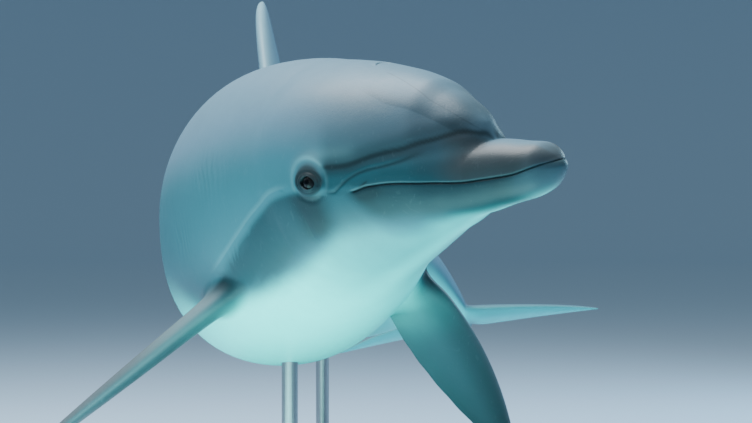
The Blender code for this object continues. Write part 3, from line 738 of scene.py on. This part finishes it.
def lids(shell, window, sign, look):
    """Lids of one eye.  Rows run from the window to an almond opening; their
    height over the eyeball's centre is the soft maximum of the skin's and a
    sphere's one lid thicker than the eyeball.  The edge then turns in to the
    eyeball, and the rows go on behind it in a closed cup."""
    a0 = sign * radians(EYE_ANGLE)
    centre, axis, r0 = eye_seat(sign)
    turn = window.turn
    half_x, half_y = look.eye_length / 2, look.eye_opening / 2
    c, s_ = np.cos(turn), np.sin(turn) * sign
    x, y = half_x * c, half_y * s_ * (0.84 + 0.16 * s_ ** 2) * np.where(s_ > 0, 0.92, 1.0)
    x, y = turned(x, y, radians(-7))
    k = 1 - (1 - np.linspace(0, 1, 25)) ** 1.5
    q, a = window.rows(EYE_STATION + x, a0 + sign * (y + 0.0012) / r0, k)
    p = hide(q, a, look) - centre
    h = (p * axis).sum(-1)
    flat = p - h[..., None] * axis
    ball = EYE_RADIUS + look.lid_thickness
    dome = np.sqrt(np.maximum(ball ** 2 - (flat ** 2).sum(-1), 0))
    h = np.where(k[:, None] > 0, soft_max(h, dome, 0.004), h)
    # a fold in the upper lid, parallel to its edge
    x, y = q - EYE_STATION, r0 * (a - a0)
    fold = ridge(np.hypot(x / half_x, y / half_y) - 1.45, 0.1)
    h = h - 0.0007 * fold * (np.sin(turn) * sign < 0.3)
    marks = markings(q, a)
    # darker round the opening, partly the dark skin of the eye patch and partly painted shade under
    # the lids
    margin = np.hypot(x / (half_x + 0.0065), y / (half_y + 0.0022))
    darken(marks, 0.9 * (1 - step(margin, 0.85, 1.6)))
    points = centre + flat + h[..., None] * axis
    # rounded edge, down to the eyeball, painted fully dark as shade, as is the cup behind
    dark = marks[-1].copy()
    dark[..., 1] = 1.0
    edge = []
    for shrink, drop in ((0.985, 0.05), (0.955, 0.28), (0.935, 0.66), (0.93, 1.0)):
        f = flat[-1] * shrink
        on_ball = np.sqrt(np.maximum((EYE_RADIUS + 0.0002) ** 2 - (f ** 2).sum(-1), 0))
        edge.append(centre + f + (h[-1] + (on_ball - h[-1]) * drop)[:, None] * axis)
    # cup behind the eyeball
    last = edge[-1] - centre
    lift = (last * axis).sum(-1)
    last = last - lift[:, None] * axis
    beta = np.arctan2(np.linalg.norm(last, axis=-1), lift)
    b = (beta + (pi - beta) * np.linspace(0, 1, 9)[1:-1, None])[..., None]
    cup = EYE_RADIUS + 0.0004
    behind = centre + cup * (axis * np.cos(b) + unit(last) * np.sin(b))
    ids = np.concatenate([window.ids[None], shell.add(points[1:], marks[1:]),
                          shell.add(np.stack(edge), dark), shell.add(behind, dark)])
    shares = np.concatenate([np.linspace(0, 0.86, 25), np.linspace(0.87, 0.98, len(ids) - 25)])
    shell.tube(ids, window.shrunk(shares), centre - axis * cup, dark[0], window.middle)


def eye_seat(sign):
    """centre of an eyeball, the way it looks, and the body's radius there"""
    a = radians(EYE_ANGLE) * sign
    p = plain_skin(EYE_STATION, a)
    du = plain_skin(EYE_STATION + 0.002, a) - plain_skin(EYE_STATION - 0.002, a)
    dv = plain_skin(EYE_STATION, a + 0.01) - plain_skin(EYE_STATION, a - 0.01)
    n = unit(np.cross(dv, du))
    if n @ (p - SPINE.read(SPINE.line, EYE_STATION)) < 0:
        n = -n
    return p - n * EYE_DEPTH, n, float(radius(EYE_STATION, a)[0])


def blowhole(shell, window, look):
    """The blowhole: rows run from the window to a crescent slit whose horns
    point forward, x = -c (y/Y)^2, over a low rim, then down into a closed
    passage."""
    reach, bow, gap = 0.014, 0.008, 0.0008
    y1 = reach * np.sin(window.turn)
    share = (y1 / reach) ** 2
    x1 = -bow * share + gap * np.cos(window.turn) * np.sqrt(np.clip(1 - share, 0.02, 1))
    r0 = float(radius(BLOWHOLE_STATION, 0.0)[0])
    k = 1 - (1 - np.linspace(0, 1, 16)) ** 1.6
    q, a = window.rows(BLOWHOLE_STATION + x1, y1 / r0, k)
    x, y = q - BLOWHOLE_STATION, r0 * a
    off = x + bow * (y / reach) ** 2
    near = within(np.abs(y), -1, reach * 0.8, 0.01)
    rim = 0.0012 * ridge(off - 0.004, 0.0055) + 0.0006 * ridge(off + 0.006, 0.006)
    lift = near * (rim - 0.0012 * ridge(off, 0.0022)) * np.minimum(k * 3, 1)[:, None]
    marks = markings(q, a)
    # painted shade along the slit
    darken(marks, 0.5 * near * ridge(off, 0.0018))
    points = hide(q, a, look) + outward(q, a, look) * lift[..., None]
    # the passage is painted fully dark, as shade
    deep = marks[-1].copy()
    deep[..., 1] = 1.0
    axis = outward(BLOWHOLE_STATION, 0.0, look)
    mid = points[-1].mean(0)
    walls = [points[-1] - axis * down + (mid - points[-1]) * shut
             for down, shut in ((0.0012, 0.03), (0.004, 0.1), (0.008, 0.3))]
    ids = np.concatenate([window.ids[None], shell.add(points[1:], marks[1:]),
                          shell.add(np.stack(walls), deep)])
    chart = window.shrunk(np.linspace(0, 0.97, len(ids)))
    shell.tube(ids, chart, mid - axis * 0.009, deep[0], window.middle)


def fin(shell, window, kind, seat, top, island, look):
    """One fin and its root.  Flat rows run over the body from the window to an
    oval foot; a cubic Hermite fillet, tangent to the body at the foot and to the
    fin above, joins the foot to the fin's loops, which close in a fan at the tip."""
    plan, _, first, rows, (long_, wide, shift) = ROOTS[kind]
    origin, back, out = seat
    s0, a0 = window.centre
    r0 = float(radius(s0, a0)[0])
    along = unit(plain_skin(s0 + 0.01, a0) - plain_skin(s0 - 0.01, a0))
    across = unit(plain_skin(s0, a0 + 0.05) - plain_skin(s0, a0 - 0.05))
    spin = np.arctan2(back @ across, back @ along)
    turn = window.turn - spin
    x, y = long_ * np.cos(turn) + shift, wide * np.sin(turn)
    x, y = turned(x, y, spin)
    q, a = window.rows(s0 + x, a0 + y / r0, np.linspace(0, 1, 6))
    marks = markings(q, a)
    points = hide(q, a, look)
    ids = np.concatenate([window.ids[None], shell.add(points[1:], marks[1:])])
    shell.weave(closed(ids), window.shrunk(np.linspace(0, 0.45, len(ids))))
    # the fin, with a waver along its trailing edge
    t = first + (1 - first) * np.sin(np.linspace(0, 1, rows) * pi / 2)
    t[-1] = 0.9985
    blade = fin_points(foil(plan, t, turn), origin, back, out)
    fin_mark = fin_marks(t, turn, kind, top)
    wave = np.sin(t * 46 + 1.3)[:, None] * step((1 + np.cos(turn)) / 2, 0.7, 1.0)[None]
    blade = blade + (look.fin_ripple * wave * step(t, 0.1, 0.4)[:, None])[..., None] * back
    # fillet
    foot = points[-1]
    normal = outward(q[-1], a[-1], look)
    gap = blade[0] - foot
    reach = np.linalg.norm(gap, axis=-1, keepdims=True) * 1.15
    rise = unit(gap - (gap * normal).sum(-1, keepdims=True) * normal) * reach
    u = np.linspace(0, 1, 9)[1:-1, None, None]
    fillet = hermite(u, foot, blade[0], rise, unit(blade[1] - blade[0]) * reach)
    ease = step(u, 0, 1)
    mix = marks[-1] * (1 - ease) + fin_mark[0] * ease
    if kind == 'flipper':       # shade in the fold behind and above the root
        darken(mix, 0.25 * ridge(u[..., 0] - 0.35, 0.3))
    ids = np.concatenate([ids[-1:], shell.add(fillet, mix), shell.add(blade, fin_mark)])
    n = len(turn)
    chart = together(0.625 + 0.37 * np.linspace(0, 1, n + 1),
                     0.004 + 0.198 * island + 0.186 * np.linspace(0, 1, len(ids))[:, None])
    shell.tube(ids, chart, blade[-1].mean(0), fin_mark[-1, 0], chart[-1, n // 2] + [0, 0.003])


def thirds(fine, coarse):
    """corners of three triangles to each pair of fine columns and one coarse"""
    a, b, c, d, e = fine[:-1:2], fine[1::2], fine[2::2], coarse[:-1], coarse[1:]
    return [np.stack(corners, 1) for corners in ((a, b, d), (b, e, d), (b, c, e))]


def build_skin(look):
    """The whole skin: rings of the head on a fine grid, rings of the trunk on
    one with half the columns, windows for eyes, blowhole and fins, a fan over
    the snout and one over the end of the tail stock."""
    shell = Shell()
    rows = np.concatenate([FIRST_ROWS, spread(ROW_SPACING)[1:]])
    half = np.radians(np.concatenate([spread(UPPER_COLUMNS, 56), spread(LOWER_COLUMNS, 44)[1:]]))
    ring = np.concatenate([-half[::-1], half[1:]])
    split = np.searchsorted(rows, HEAD_ROWS_END)
    total = len(rows) + 4

    def chart_of(count, first, columns):
        v = (first + np.arange(count)) / total
        return together(0.61 * np.arange(columns) / (columns - 1), v[:, None])

    # head
    q, a = np.meshgrid(rows[:split], ring, indexing='ij')
    r = radius(q, a, q)[0]
    head = closed(shell.add(hide(q, a, look)[:, :-1], markings(q, a, r)[:, :-1]))
    head_chart = chart_of(split, 1, len(ring))
    keep = np.ones((split - 1, len(ring) - 1), bool)
    eyes = [(sign, Window(head, q, a, head_chart, keep, (EYE_STATION, sign * radians(EYE_ANGLE)),
                          0.03, 12.6)) for sign in (1, -1)]
    top = Window(head, q, a, head_chart, keep, (BLOWHOLE_STATION, 0.0), 0.026, 10.5)
    shell.weave(head, head_chart, keep)
    for sign, window in eyes:
        lids(shell, window, sign, look)
    blowhole(shell, top, look)
    # snout
    shell.fan(head[0], head_chart[0], SPINE.place(-0.0005, 0.0, curve(MOUTH, 0.0)),
              markings(0.0, pi / 2, 0.01), (0.305, 0.0))

    # trunk, whose rings close in a round end
    even = np.linspace(-pi, pi, (len(ring) - 1) // 2 + 1)
    end = np.radians([30, 60, 80])
    s = np.concatenate([rows[split:], BODY_END + END_LENGTH * np.sin(end)])
    shrink = np.concatenate([np.ones(len(rows) - split), np.cos(end)])[:, None]
    blend = step(s, HEAD_ROWS_END, 0.64)[:, None]
    q = s[:, None] + 0 * even
    a = ring[::2] * (1 - blend) + even * blend
    flat = np.minimum(q, BODY_END)
    r, pole = radius(flat, a)
    full = (r + relief(flat, side_angle(a), r, look)) * shrink
    points = SPINE.place(q, -full * np.sin(a), pole + full * np.cos(a))
    trunk = closed(shell.add(points[:, :-1], markings(flat, a, r)[:, :-1]))
    chart = chart_of(len(s), split + 1, len(even))
    keep = np.ones((len(s) - 1, len(even) - 1), bool)
    holes = [Window(trunk, q, a, chart, keep, (station, radians(angle)), ROOTS[kind][1], half)
             for _, kind, station, angle, half, _ in FINS]
    shell.weave(trunk, chart, keep)
    seats = fin_seats()
    for island, (window, (name, kind, *_, up)) in enumerate(zip(holes, FINS)):
        fin(shell, window, kind, seats[name], up, island, look)
    shell.fan(trunk[-1], chart[-1], SPINE.place(BODY_END + END_LENGTH, 0.0, 0.0),
              markings(BODY_END, 0.0, 0.02), (0.305, (total - 0.2) / total))

    # where the fine columns meet the coarse ones
    for ids, places in zip(thirds(head[-1], trunk[0]), thirds(head_chart[-1], chart[0])):
        shell.triangles(ids, places)
    return shell.mesh('dolphin_skin')


def fin_seats():
    """origin, backward and outward directions of each fin"""
    seats = {}
    _, f, u, w = SPINE.frame(FLIPPER_STATION)
    for side, sign in SIDES:
        d, k = radians(FLIPPER_DROOP[side]), radians(FLIPPER_TWIST[side])
        out = sign * w * cos(d) - u * sin(d)
        top = sign * w * sin(d) + u * cos(d)
        back = -f * cos(k) - top * sin(k)
        k = radians(FLIPPER_SWEEP[side])
        out, back = out * cos(k) + back * sin(k), back * cos(k) - out * sin(k)
        root = plain_skin(FLIPPER_STATION, -sign * radians(FLIPPER_ANGLE[side]))
        seats['flipper_' + side] = (root, back, out)
    _, f, u, w = SPINE.frame(DORSAL_STATION)
    lean, toe = radians(DORSAL_LEAN), radians(DORSAL_TOE)
    back = -f * cos(toe) - w * sin(toe)
    out = u * cos(lean) - np.cross(back, u) * sin(lean)
    seats['dorsal_fin'] = (plain_skin(DORSAL_STATION, radians(DORSAL_ANGLE)), back, out)
    c, f, u, w = SPINE.frame(FLUKE_STATION)
    for side, sign in SIDES:
        k = radians(FLUKE_LIFT[side])
        seats['fluke_' + side] = (c, -f, sign * w * cos(k) + u * sin(k))
    return seats


# ---------------------------------------------------------------- materials
class Wire:
    """A value in a material.  Arithmetic on it adds Math nodes."""

    def __init__(self, finish, socket):
        self.finish, self.socket = finish, socket

    def math(self, operation, *values):
        return self.finish.node('Math', {'operation': operation}, dict(enumerate(values)))

    def __add__(self, other): return self.math('ADD', self, other)
    def __radd__(self, other): return self.math('ADD', other, self)
    def __sub__(self, other): return self.math('SUBTRACT', self, other)
    def __rsub__(self, other): return self.math('SUBTRACT', other, self)
    def __mul__(self, other): return self.math('MULTIPLY', self, other)
    def __pow__(self, other): return self.math('POWER', self, other)
    def sine(self): return self.math('SINE', self)

    def smooth(self, lo, hi):
        """smooth step from 0 at lo to 1 at hi"""
        return self.finish.node('MapRange', {'interpolation_type': 'SMOOTHSTEP', 'clamp': True},
                                {'Value': self, 'From Min': lo, 'From Max': hi})

    def parts(self):
        n = self.finish.raw('SeparateXYZ', {}, {0: self})
        return [Wire(self.finish, o) for o in n.outputs]

    def stretched(self, scale, rotation=(0, 0, 0)):
        return self.finish.node('Mapping', {},
                                {'Vector': self, 'Scale': scale, 'Rotation': rotation})


class Finish:
    """One material: a tree of nodes that ends in one shader."""

    def __init__(self, name, **constants):
        self.material = bpy.data.materials.new(name)
        self.material.use_nodes = True
        self.tree = self.material.node_tree
        self.shader = self.tree.nodes['Principled BSDF']
        self.set(**constants)

    def put(self, socket, value):
        """a wire or a constant on a socket"""
        if isinstance(value, Wire):
            self.tree.links.new(value.socket, socket)
        else:
            socket.default_value = (*value, 1.0)[:4] if socket.type == 'RGBA' else value

    def set(self, **inputs):
        """what goes on the shader's inputs, by their names"""
        for key, value in inputs.items():
            name = key.replace('_', ' ').title().replace('Ior', 'IOR')
            self.put(self.shader.inputs[name], value)

    def raw(self, kind, settings, values):
        n = self.tree.nodes.new('ShaderNode' + kind)
        for key, value in settings.items():
            setattr(n, key, value)
        for key, value in values.items():
            self.put(n.inputs[key], value)
        return n

    def node(self, kind, settings, values, out=0):
        return Wire(self, self.raw(kind, settings, values).outputs[out])

    def place(self):
        """object coordinates"""
        return self.node('TexCoord', {}, {}, 'Object')

    def value(self, name):
        return self.node('Attribute', {'attribute_name': name}, {}, 'Vector')

    def noise(self, where, scale, detail=2.0, rough=0.5, distortion=0.0):
        return self.node('TexNoise', {}, {'Vector': where, 'Scale': scale, 'Detail': detail,
                                          'Roughness': rough, 'Distortion': distortion})

    def mix(self, a, b, k):
        """colour a to colour b by k"""
        return self.node('Mix', {'data_type': 'RGBA', 'clamp_factor': True}, {0: k, 6: a, 7: b}, 2)

    def scaled(self, colour, k):
        """colour times a number"""
        return self.node('VectorMath', {'operation': 'SCALE'}, {0: colour, 'Scale': k})

    def bump(self, height, distance):
        """height, in units of distance, as the shader's normal"""
        self.set(normal=self.node('Bump', {}, {'Height': height, 'Distance': distance,
                                               'Strength': 1.0}))


def dim(colour, k):
    """a colour k times as bright"""
    return tuple(c * k for c in colour)


def skin_finish(look):
    """Skin: back, flank and belly colours by the markings, whose edges wander
    with a coarse noise; blotches, mottle and fine scratches on top; bump from
    grain, neck wrinkles (a warped sine) and scratches."""
    f = Finish('dolphin_skin', specular_ior_level=0.2, coat_roughness=0.25, coat_ior=1.34)
    pale, dark, light = f.value('tone').parts()
    cape, warm, folds = f.value('cover').parts()
    line, band, ray = f.value('lines').parts()
    line_on, band_on, ray_on = f.value('amount').parts()
    at = f.place()
    blotch = f.noise(at, 6.0, 3.0) - 0.5
    mottle = f.noise(at, 34.0, 4.0, 0.6) - 0.5
    grain = f.noise(at, 420.0, 2.0) - 0.5
    pores = f.noise(at, 1100.0, 1.0) - 0.5
    streak = f.noise(at.stretched((60.0, 7.0, 22.0), (0.3, 0.5, 0.6)), 3.0, 2.0)
    rake = f.noise(at.stretched((10.0, 90.0, 45.0), (0.9, -0.4, 0.3)), 2.6, 1.0)
    scratch = streak.smooth(0.665, 0.72) * 0.6 + rake.smooth(0.68, 0.74) * 0.4
    # band of the melon: a thin line above, a shade that deepens to a sharp edge
    stroke = line.smooth(-0.22, 0.0) * (1.0 - line.smooth(0.0, 0.22)) * line_on
    inside = line.smooth(-0.2, 1.4) * (1.0 - band.smooth(-0.12, 0.22))
    shade = inside * (0.4 + band.smooth(-2.4, -0.1) * 0.6) * band_on
    glow = ray.smooth(-0.9, 0.0) * (1.0 - ray.smooth(0.0, 0.35)) * ray_on
    # colours, each laid over those before it; the light and dark values bring painted highlights
    # and painted shade along with real marks
    colour = f.mix(look.flank, look.back, (cape + blotch * 0.24).smooth(0.0, 1.0))
    # deep: the colour of the dark marks and of the painted shade
    deep = f.mix(look.dark_marks_and_shade, dim(look.warm, 0.26), warm)
    for over, share in ((look.warm, warm),
                        (look.belly, (pale + blotch * 0.12 + mottle * 0.05).smooth(0.02, 0.98)),
                        (look.light_marks_and_highlights, light + glow * 0.17),
                        (dim(look.back, 0.45), (stroke * 0.45 + shade * 0.6).smooth(0.0, 1.0)),
                        (deep, (dark * (1.0 + blotch * 0.25)).smooth(-0.05, 1.05)),
                        (look.scar, scratch * 0.04)):
        colour = f.mix(colour, over, share)
    x, y, z = at.parts()
    warp = f.noise(at, 9.0, 2.0)
    wrinkle = (x * 330.0 - y * 250.0 + z * 120.0 + warp * 26.0).sine() * folds.smooth(0.0, 1.0)
    fold = (z * 300.0 + x * 200.0 + warp * 20.0).sine() * folds.smooth(0.0, -1.0)
    # the wrinkles' sines also lighten and darken the colour: painted light on their crests, painted
    # shade in their troughs
    tone = (1.0 + blotch * 0.08 + mottle * 0.08 + grain * 0.06 + wrinkle * 0.07 + fold * 0.02)
    f.set(base_color=f.scaled(colour, tone), coat_weight=0.05 + blotch * 0.05,
          roughness=0.46 + mottle * 0.16 + grain * 0.1 - dark * 0.05)
    f.bump(grain * 0.18 + pores * 0.1 + mottle * 0.4 - scratch * 0.06 + wrinkle * 0.34
           + fold * 0.08, 0.001)
    return f.material


def eye_finish(look):
    """Eye: dark sclera, dark grey iris with radial fibres, and a wide pupil, set out
    by the angle from the way the eye looks; a clear wet coat over all."""
    f = Finish('dolphin_eye', specular_ior_level=0.12, coat_weight=0.12, coat_roughness=0.05,
               coat_ior=1.2)
    gaze = f.value('gaze')
    beta, across, up = gaze.parts()
    fibre = f.noise(gaze.stretched((2.0, 34.0, 34.0)), 5.0, 3.0)
    oval = (across * across * 0.6 + up * up * 1.9) ** 0.5
    vein = f.noise(f.place(), 500.0, 3.0)
    colour = f.mix((0.01, 0.011, 0.013), (0.005, 0.005, 0.006), vein)
    colour = f.mix(colour, f.mix((0.008, 0.007, 0.007), look.iris, fibre),
                   1.0 - beta.smooth(0.58, 0.68))
    colour = f.mix(colour, (0.002, 0.002, 0.003), 1.0 - oval.smooth(0.24, 0.3))
    f.set(base_color=colour, roughness=0.07 + vein * 0.04)
    f.bump(vein * 0.3, 0.0002)
    return f.material


def board_finish(look):
    """Stained board: stretched noise bands for the grain, pores as fine dark
    lines, a satin coat."""
    f = Finish('stand_board', specular_ior_level=0.5, coat_roughness=0.3)
    at = f.place()
    ring = f.noise(at.stretched((9.0, 0.7, 9.0)), 2.6, 4.0, 0.6, 0.6)
    line = (ring * 46.0).sine() * 0.5 + 0.5
    pore = f.noise(at.stretched((240.0, 9.0, 240.0)), 3.0, 2.0).smooth(0.6, 0.72)
    colour = f.mix(look.board, dim(look.board, 0.45), line * 0.6 + ring * 0.3)
    f.set(base_color=f.mix(colour, (0.006, 0.005, 0.004), pore * 0.55),
          roughness=0.36 + line * 0.1 + pore * 0.18, coat_weight=0.35 - pore * 0.3)
    f.bump(line * 0.12 - pore * 0.5, 0.0004)
    return f.material


def steel_finish(look):
    """Brushed steel: rings of fine scratches round the rod."""
    f = Finish('stand_steel', metallic=1.0)
    at = f.place()
    brush = f.noise(at.stretched((6.0, 6.0, 900.0)), 2.0, 3.0)
    smudge = f.noise(at, 14.0, 2.0)
    f.set(base_color=f.mix(look.steel, dim(look.steel, 0.78), brush * 0.7 + smudge * 0.3),
          roughness=0.24 + brush * 0.18 + smudge * 0.1)
    f.bump(brush * 0.6, 0.0002)
    return f.material


def paper_finish(look):
    """Matt paper of the studio."""
    f = Finish('studio_paper', specular_ior_level=0.1)
    speck = f.noise(f.place(), 60.0, 2.0)
    f.set(base_color=f.mix(look.floor, dim(look.floor, 0.985), speck), roughness=0.8 + speck * 0.05)
    return f.material


# --------------------------------------------------------------- properties
def colour(name, description, default):
    return bpy.props.FloatVectorProperty(name=name, description=description, default=default,
                                         subtype='COLOR', size=3, min=0.0, max=1.0)


def length(name, description, default):
    return bpy.props.FloatProperty(name=name, description=description, default=default,
                                   unit='LENGTH', subtype='DISTANCE', min=0.0, precision=4)


def power(name, description, default):
    return bpy.props.FloatProperty(name=name, description=description, default=default,
                                   unit='POWER', min=0.0)


class DolphinSkinLook(bpy.types.PropertyGroup):
    # the blue-green cast of light under water is painted into the back and flank colours; the
    # belly's mint is partly the pale underside, partly painted light bounced up from below
    back: colour("Back", "Colour of the cape along the back", (0.12, 0.236, 0.316))
    flank: colour("Flank", "Colour of the sides", (0.046, 0.172, 0.214))
    belly: colour("Belly", "Colour of the pale underside", (0.025, 0.92, 0.84))
    warm: colour("Warm grey", "Colour of the beak, the brow and the flippers' tops",
                 (0.105, 0.132, 0.145))
    # the dark bands colour the eye patch and stripes, and the painted shade in grooves, folds and
    # slits
    dark_marks_and_shade: colour("Dark bands", "Colour of grooves, eye patch and stripes",
                      (0.01, 0.027, 0.034))
    # the light bands colour light marks and painted highlights on the brow, the lips and the fins'
    # edges
    light_marks_and_highlights: colour("Light bands", "Colour of the bands beside the grooves", (0.25, 0.46, 0.5))
    scar: colour("Scratches", "Colour of old scratches", (0.45, 0.55, 0.56))
    mouth_depth: length("Mouth depth", "Depth of the closed mouth's line", 0.0022)
    lid_thickness: length("Lid thickness", "Thickness of the eyelids", 0.0017)
    eye_length: length("Eye length", "Length of the opening between the lids", 0.026)
    eye_opening: length("Eye opening", "Height of the opening between the lids", 0.0205)
    fin_ripple: length("Fin ripple", "Waver of the fins' trailing edges", 0.0007)


class DolphinEyeLook(bpy.types.PropertyGroup):
    iris: colour("Iris", "Colour of the iris", (0.014, 0.014, 0.016))
    cornea: length("Cornea", "How far the cornea stands out of the eyeball", 0.0009)


class DolphinStandLook(bpy.types.PropertyGroup):
    board: colour("Board", "Stain of the base board", (0.06, 0.04, 0.028))
    steel: colour("Rods", "Colour of the steel rods", (0.36, 0.38, 0.4))


class DolphinStageLook(bpy.types.PropertyGroup):
    floor: colour("Floor", "Colour of the floor and backdrop", (0.5, 0.68, 0.86))
    air: colour("Air", "Colour of the light from all round", (0.66, 0.82, 0.92))
    top: power("Top light", "Power of the soft box overhead", 250.0)
    fill: power("Fill light", "Power of the fill beside the camera", 10.0)
    under: power("Low light", "Power of the low light on the underside", 15.0)
    rim: power("Rim light", "Power of the light behind, on the tail", 55.0)


# ---------------------------------------------------------------- operators
def show(name, mesh, material, slot, *nodes):
    """a finished piece, riding on the body and standing for its nodes"""
    ob = bpy.data.objects.new(name, mesh)
    bpy.context.scene.collection.objects.link(ob)
    mesh.materials.clear()
    mesh.materials.append(material)
    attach(ob, "root")
    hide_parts(*nodes)
    return ob


class DOLPHIN_OT_skin(bpy.types.Operator):
    """Make the skin: one closed surface over body, head and fins"""
    bl_idname = "dolphin.skin"
    bl_label = "Skin"

    def execute(self, context):
        look = context.scene.dolphin_skin
        nodes = [n for n in frame["nodes"] if not n.startswith(('eye_', 'stand_'))]
        if len(nodes) != 12:
            raise RuntimeError("the frame should have 12 nodes of flesh, not %d" % len(nodes))
        show('skin', build_skin(look), skin_finish(look), 'skin_flank', *nodes)
        return {'FINISHED'}


def build_eyeball(sign, look):
    """Sphere about the way the eye looks; the radius gains the cornea's rise
    inside 34 degrees of the axis, by a smooth step."""
    centre, axis, _ = eye_seat(sign)
    ahead = SPINE.frame(EYE_STATION)[1]
    forward = unit(ahead - axis * (ahead @ axis))
    up = np.cross(axis, forward) * sign
    beta = np.linspace(0, pi, 41)[1:-1, None]
    turn = np.linspace(0, 2 * pi, 49)[:-1][None]
    r = EYE_RADIUS + look.cornea * (1 - step(beta, radians(12), radians(34)))
    gaze = together(beta, np.sin(beta) * np.cos(turn), np.sin(beta) * np.sin(turn))
    grid = np.cos(beta)[..., None] * axis + gaze[..., 1:2] * forward + gaze[..., 2:] * up
    shell = Shell()
    marks = np.concatenate([gaze] + [gaze * 0] * 3, -1)
    ids = closed(shell.add(centre + r[..., None] * grid, marks))
    chart = together(np.linspace(0, 1, 49), np.linspace(0.03, 0.97, 39)[:, None])
    shell.weave(ids, chart)
    front, rear = centre + axis * (EYE_RADIUS + look.cornea), centre - axis * EYE_RADIUS
    shell.fan(ids[0], chart[0], front, np.zeros(12), (0.5, 0.0))
    shell.fan(ids[-1], chart[-1], rear, np.array([pi] + [0] * 11), (0.5, 1.0))
    me = shell.mesh('eyeball')
    me.attributes['tone'].name = 'gaze'
    return me


class DOLPHIN_OT_eyes(bpy.types.Operator):
    """Make both eyeballs, each a sphere with a cornea"""
    bl_idname = "dolphin.eyes"
    bl_label = "Eyes"

    def execute(self, context):
        look = context.scene.dolphin_eyes
        material = eye_finish(look)
        for side, sign in (('right', 1), ('left', -1)):
            show('eyeball_' + side, build_eyeball(sign, look), material, 'eye', 'eye_' + side)
        return {'FINISHED'}


class DOLPHIN_OT_stand(bpy.types.Operator):
    """Finish the base board and the two rods"""
    bl_idname = "dolphin.stand"
    bl_label = "Stand"

    def execute(self, context):
        look = context.scene.dolphin_stand
        for names, material in ((('stand_base',), board_finish(look)),
                                (('stand_rod_front', 'stand_rod_rear'), steel_finish(look))):
            for name in names:
                for slot in frame["nodes"][name].material_slots:
                    slot.material = material
        return {'FINISHED'}


def build_bowl():
    """The studio's paper: a round floor, then most of a quarter circle up into
    a low wall."""
    bend = np.radians(np.linspace(0, 80, 12))
    out = np.concatenate([FLOOR_RINGS, WALL_START + WALL_BEND * np.sin(bend)])
    z = np.concatenate([[0.0] * len(FLOOR_RINGS), WALL_BEND * (1 - np.cos(bend))]) - FLOOR_DROP
    turn = np.radians(np.arange(96) * 3.75)
    out, z = out[:, None], z[:, None]
    shell = Shell()
    ids = closed(shell.add(together(out * np.cos(turn), out * np.sin(turn), z), np.zeros(12)))
    shell.weave(ids, np.zeros(ids.shape + (2,)))
    shell.fan(ids[0], np.zeros((len(ids[0]), 2)), (0.0, 0.0, -FLOOR_DROP), np.zeros(12), (0, 0))
    return shell.mesh('studio')


class DOLPHIN_OT_stage(bpy.types.Operator):
    """Set the floor and backdrop, the lights and the camera"""
    bl_idname = "dolphin.stage"
    bl_label = "Studio"

    def execute(self, context):
        look = context.scene.dolphin_stage
        me = build_bowl()
        me.materials.append(paper_finish(look))
        sweep = self.hang(context, 'studio', me)
        for name, (at, aim, size, tint) in LAMPS.items():
            data = bpy.data.lights.new(name, 'AREA')
            data.size, data.energy, data.color = size, getattr(look, name), tint
            z = unit(np.array(at) - np.array(aim))
            x = unit(np.cross([0.0, 1.0, 0.001], z))
            place = np.vstack([np.stack([x, np.cross(z, x), z, at], 1), [0, 0, 0, 1]])
            self.hang(context, name, data).matrix_world = Matrix(place.tolist())
        world = context.scene.world = bpy.data.worlds.new('air')
        world.use_nodes = True
        background = world.node_tree.nodes['Background'].inputs
        background[0].default_value = (*look.air, 1)
        background[1].default_value = AIR_STRENGTH
        camera = bpy.data.cameras.new('camera')
        camera.sensor_width, camera.lens, camera.clip_end = 36.0, LENS, 100
        ob = context.scene.camera = self.hang(context, 'camera', camera)
        ob.location, ob.rotation_euler = CAMERA_PLACE, (pi / 2, 0, 0)
        return {'FINISHED'}

    @staticmethod
    def hang(context, name, data):
        """a new object in the scene"""
        ob = bpy.data.objects.new(name, data)
        context.scene.collection.objects.link(ob)
        return ob


class DOLPHIN_PT_panel(bpy.types.Panel):
    """Sizes, colours and the steps of the model"""
    bl_idname = "DOLPHIN_PT_panel"
    bl_label = "Dolphin"
    bl_space_type = 'VIEW_3D'
    bl_region_type = 'UI'
    bl_category = "Dolphin"

    def draw(self, context):
        for group, operator in STEPS:
            box = self.layout.box()
            look = getattr(context.scene, group)
            for name in look.bl_rna.properties.keys():
                if name not in ('rna_type', 'name'):
                    box.prop(look, name)
            box.operator(operator)


STEPS = (('dolphin_skin', 'dolphin.skin'), ('dolphin_eyes', 'dolphin.eyes'),
         ('dolphin_stand', 'dolphin.stand'), ('dolphin_stage', 'dolphin.stage'))
GROUPS = {'dolphin_skin': DolphinSkinLook, 'dolphin_eyes': DolphinEyeLook,
          'dolphin_stand': DolphinStandLook, 'dolphin_stage': DolphinStageLook}
CLASSES = tuple(GROUPS.values()) + (DOLPHIN_OT_skin, DOLPHIN_OT_eyes, DOLPHIN_OT_stand,
                                    DOLPHIN_OT_stage, DOLPHIN_PT_panel)


def register():
    for c in CLASSES:
        bpy.utils.register_class(c)
    for name, group in GROUPS.items():
        setattr(bpy.types.Scene, name, bpy.props.PointerProperty(type=group))


def unregister():
    for name in GROUPS:
        delattr(bpy.types.Scene, name)
    for c in reversed(CLASSES):
        bpy.utils.unregister_class(c)


def main():
    register()
    for _, operator in STEPS:
        group, name = operator.split('.')
        getattr(getattr(bpy.ops, group), name)()


if __name__ == "__main__":
    main()
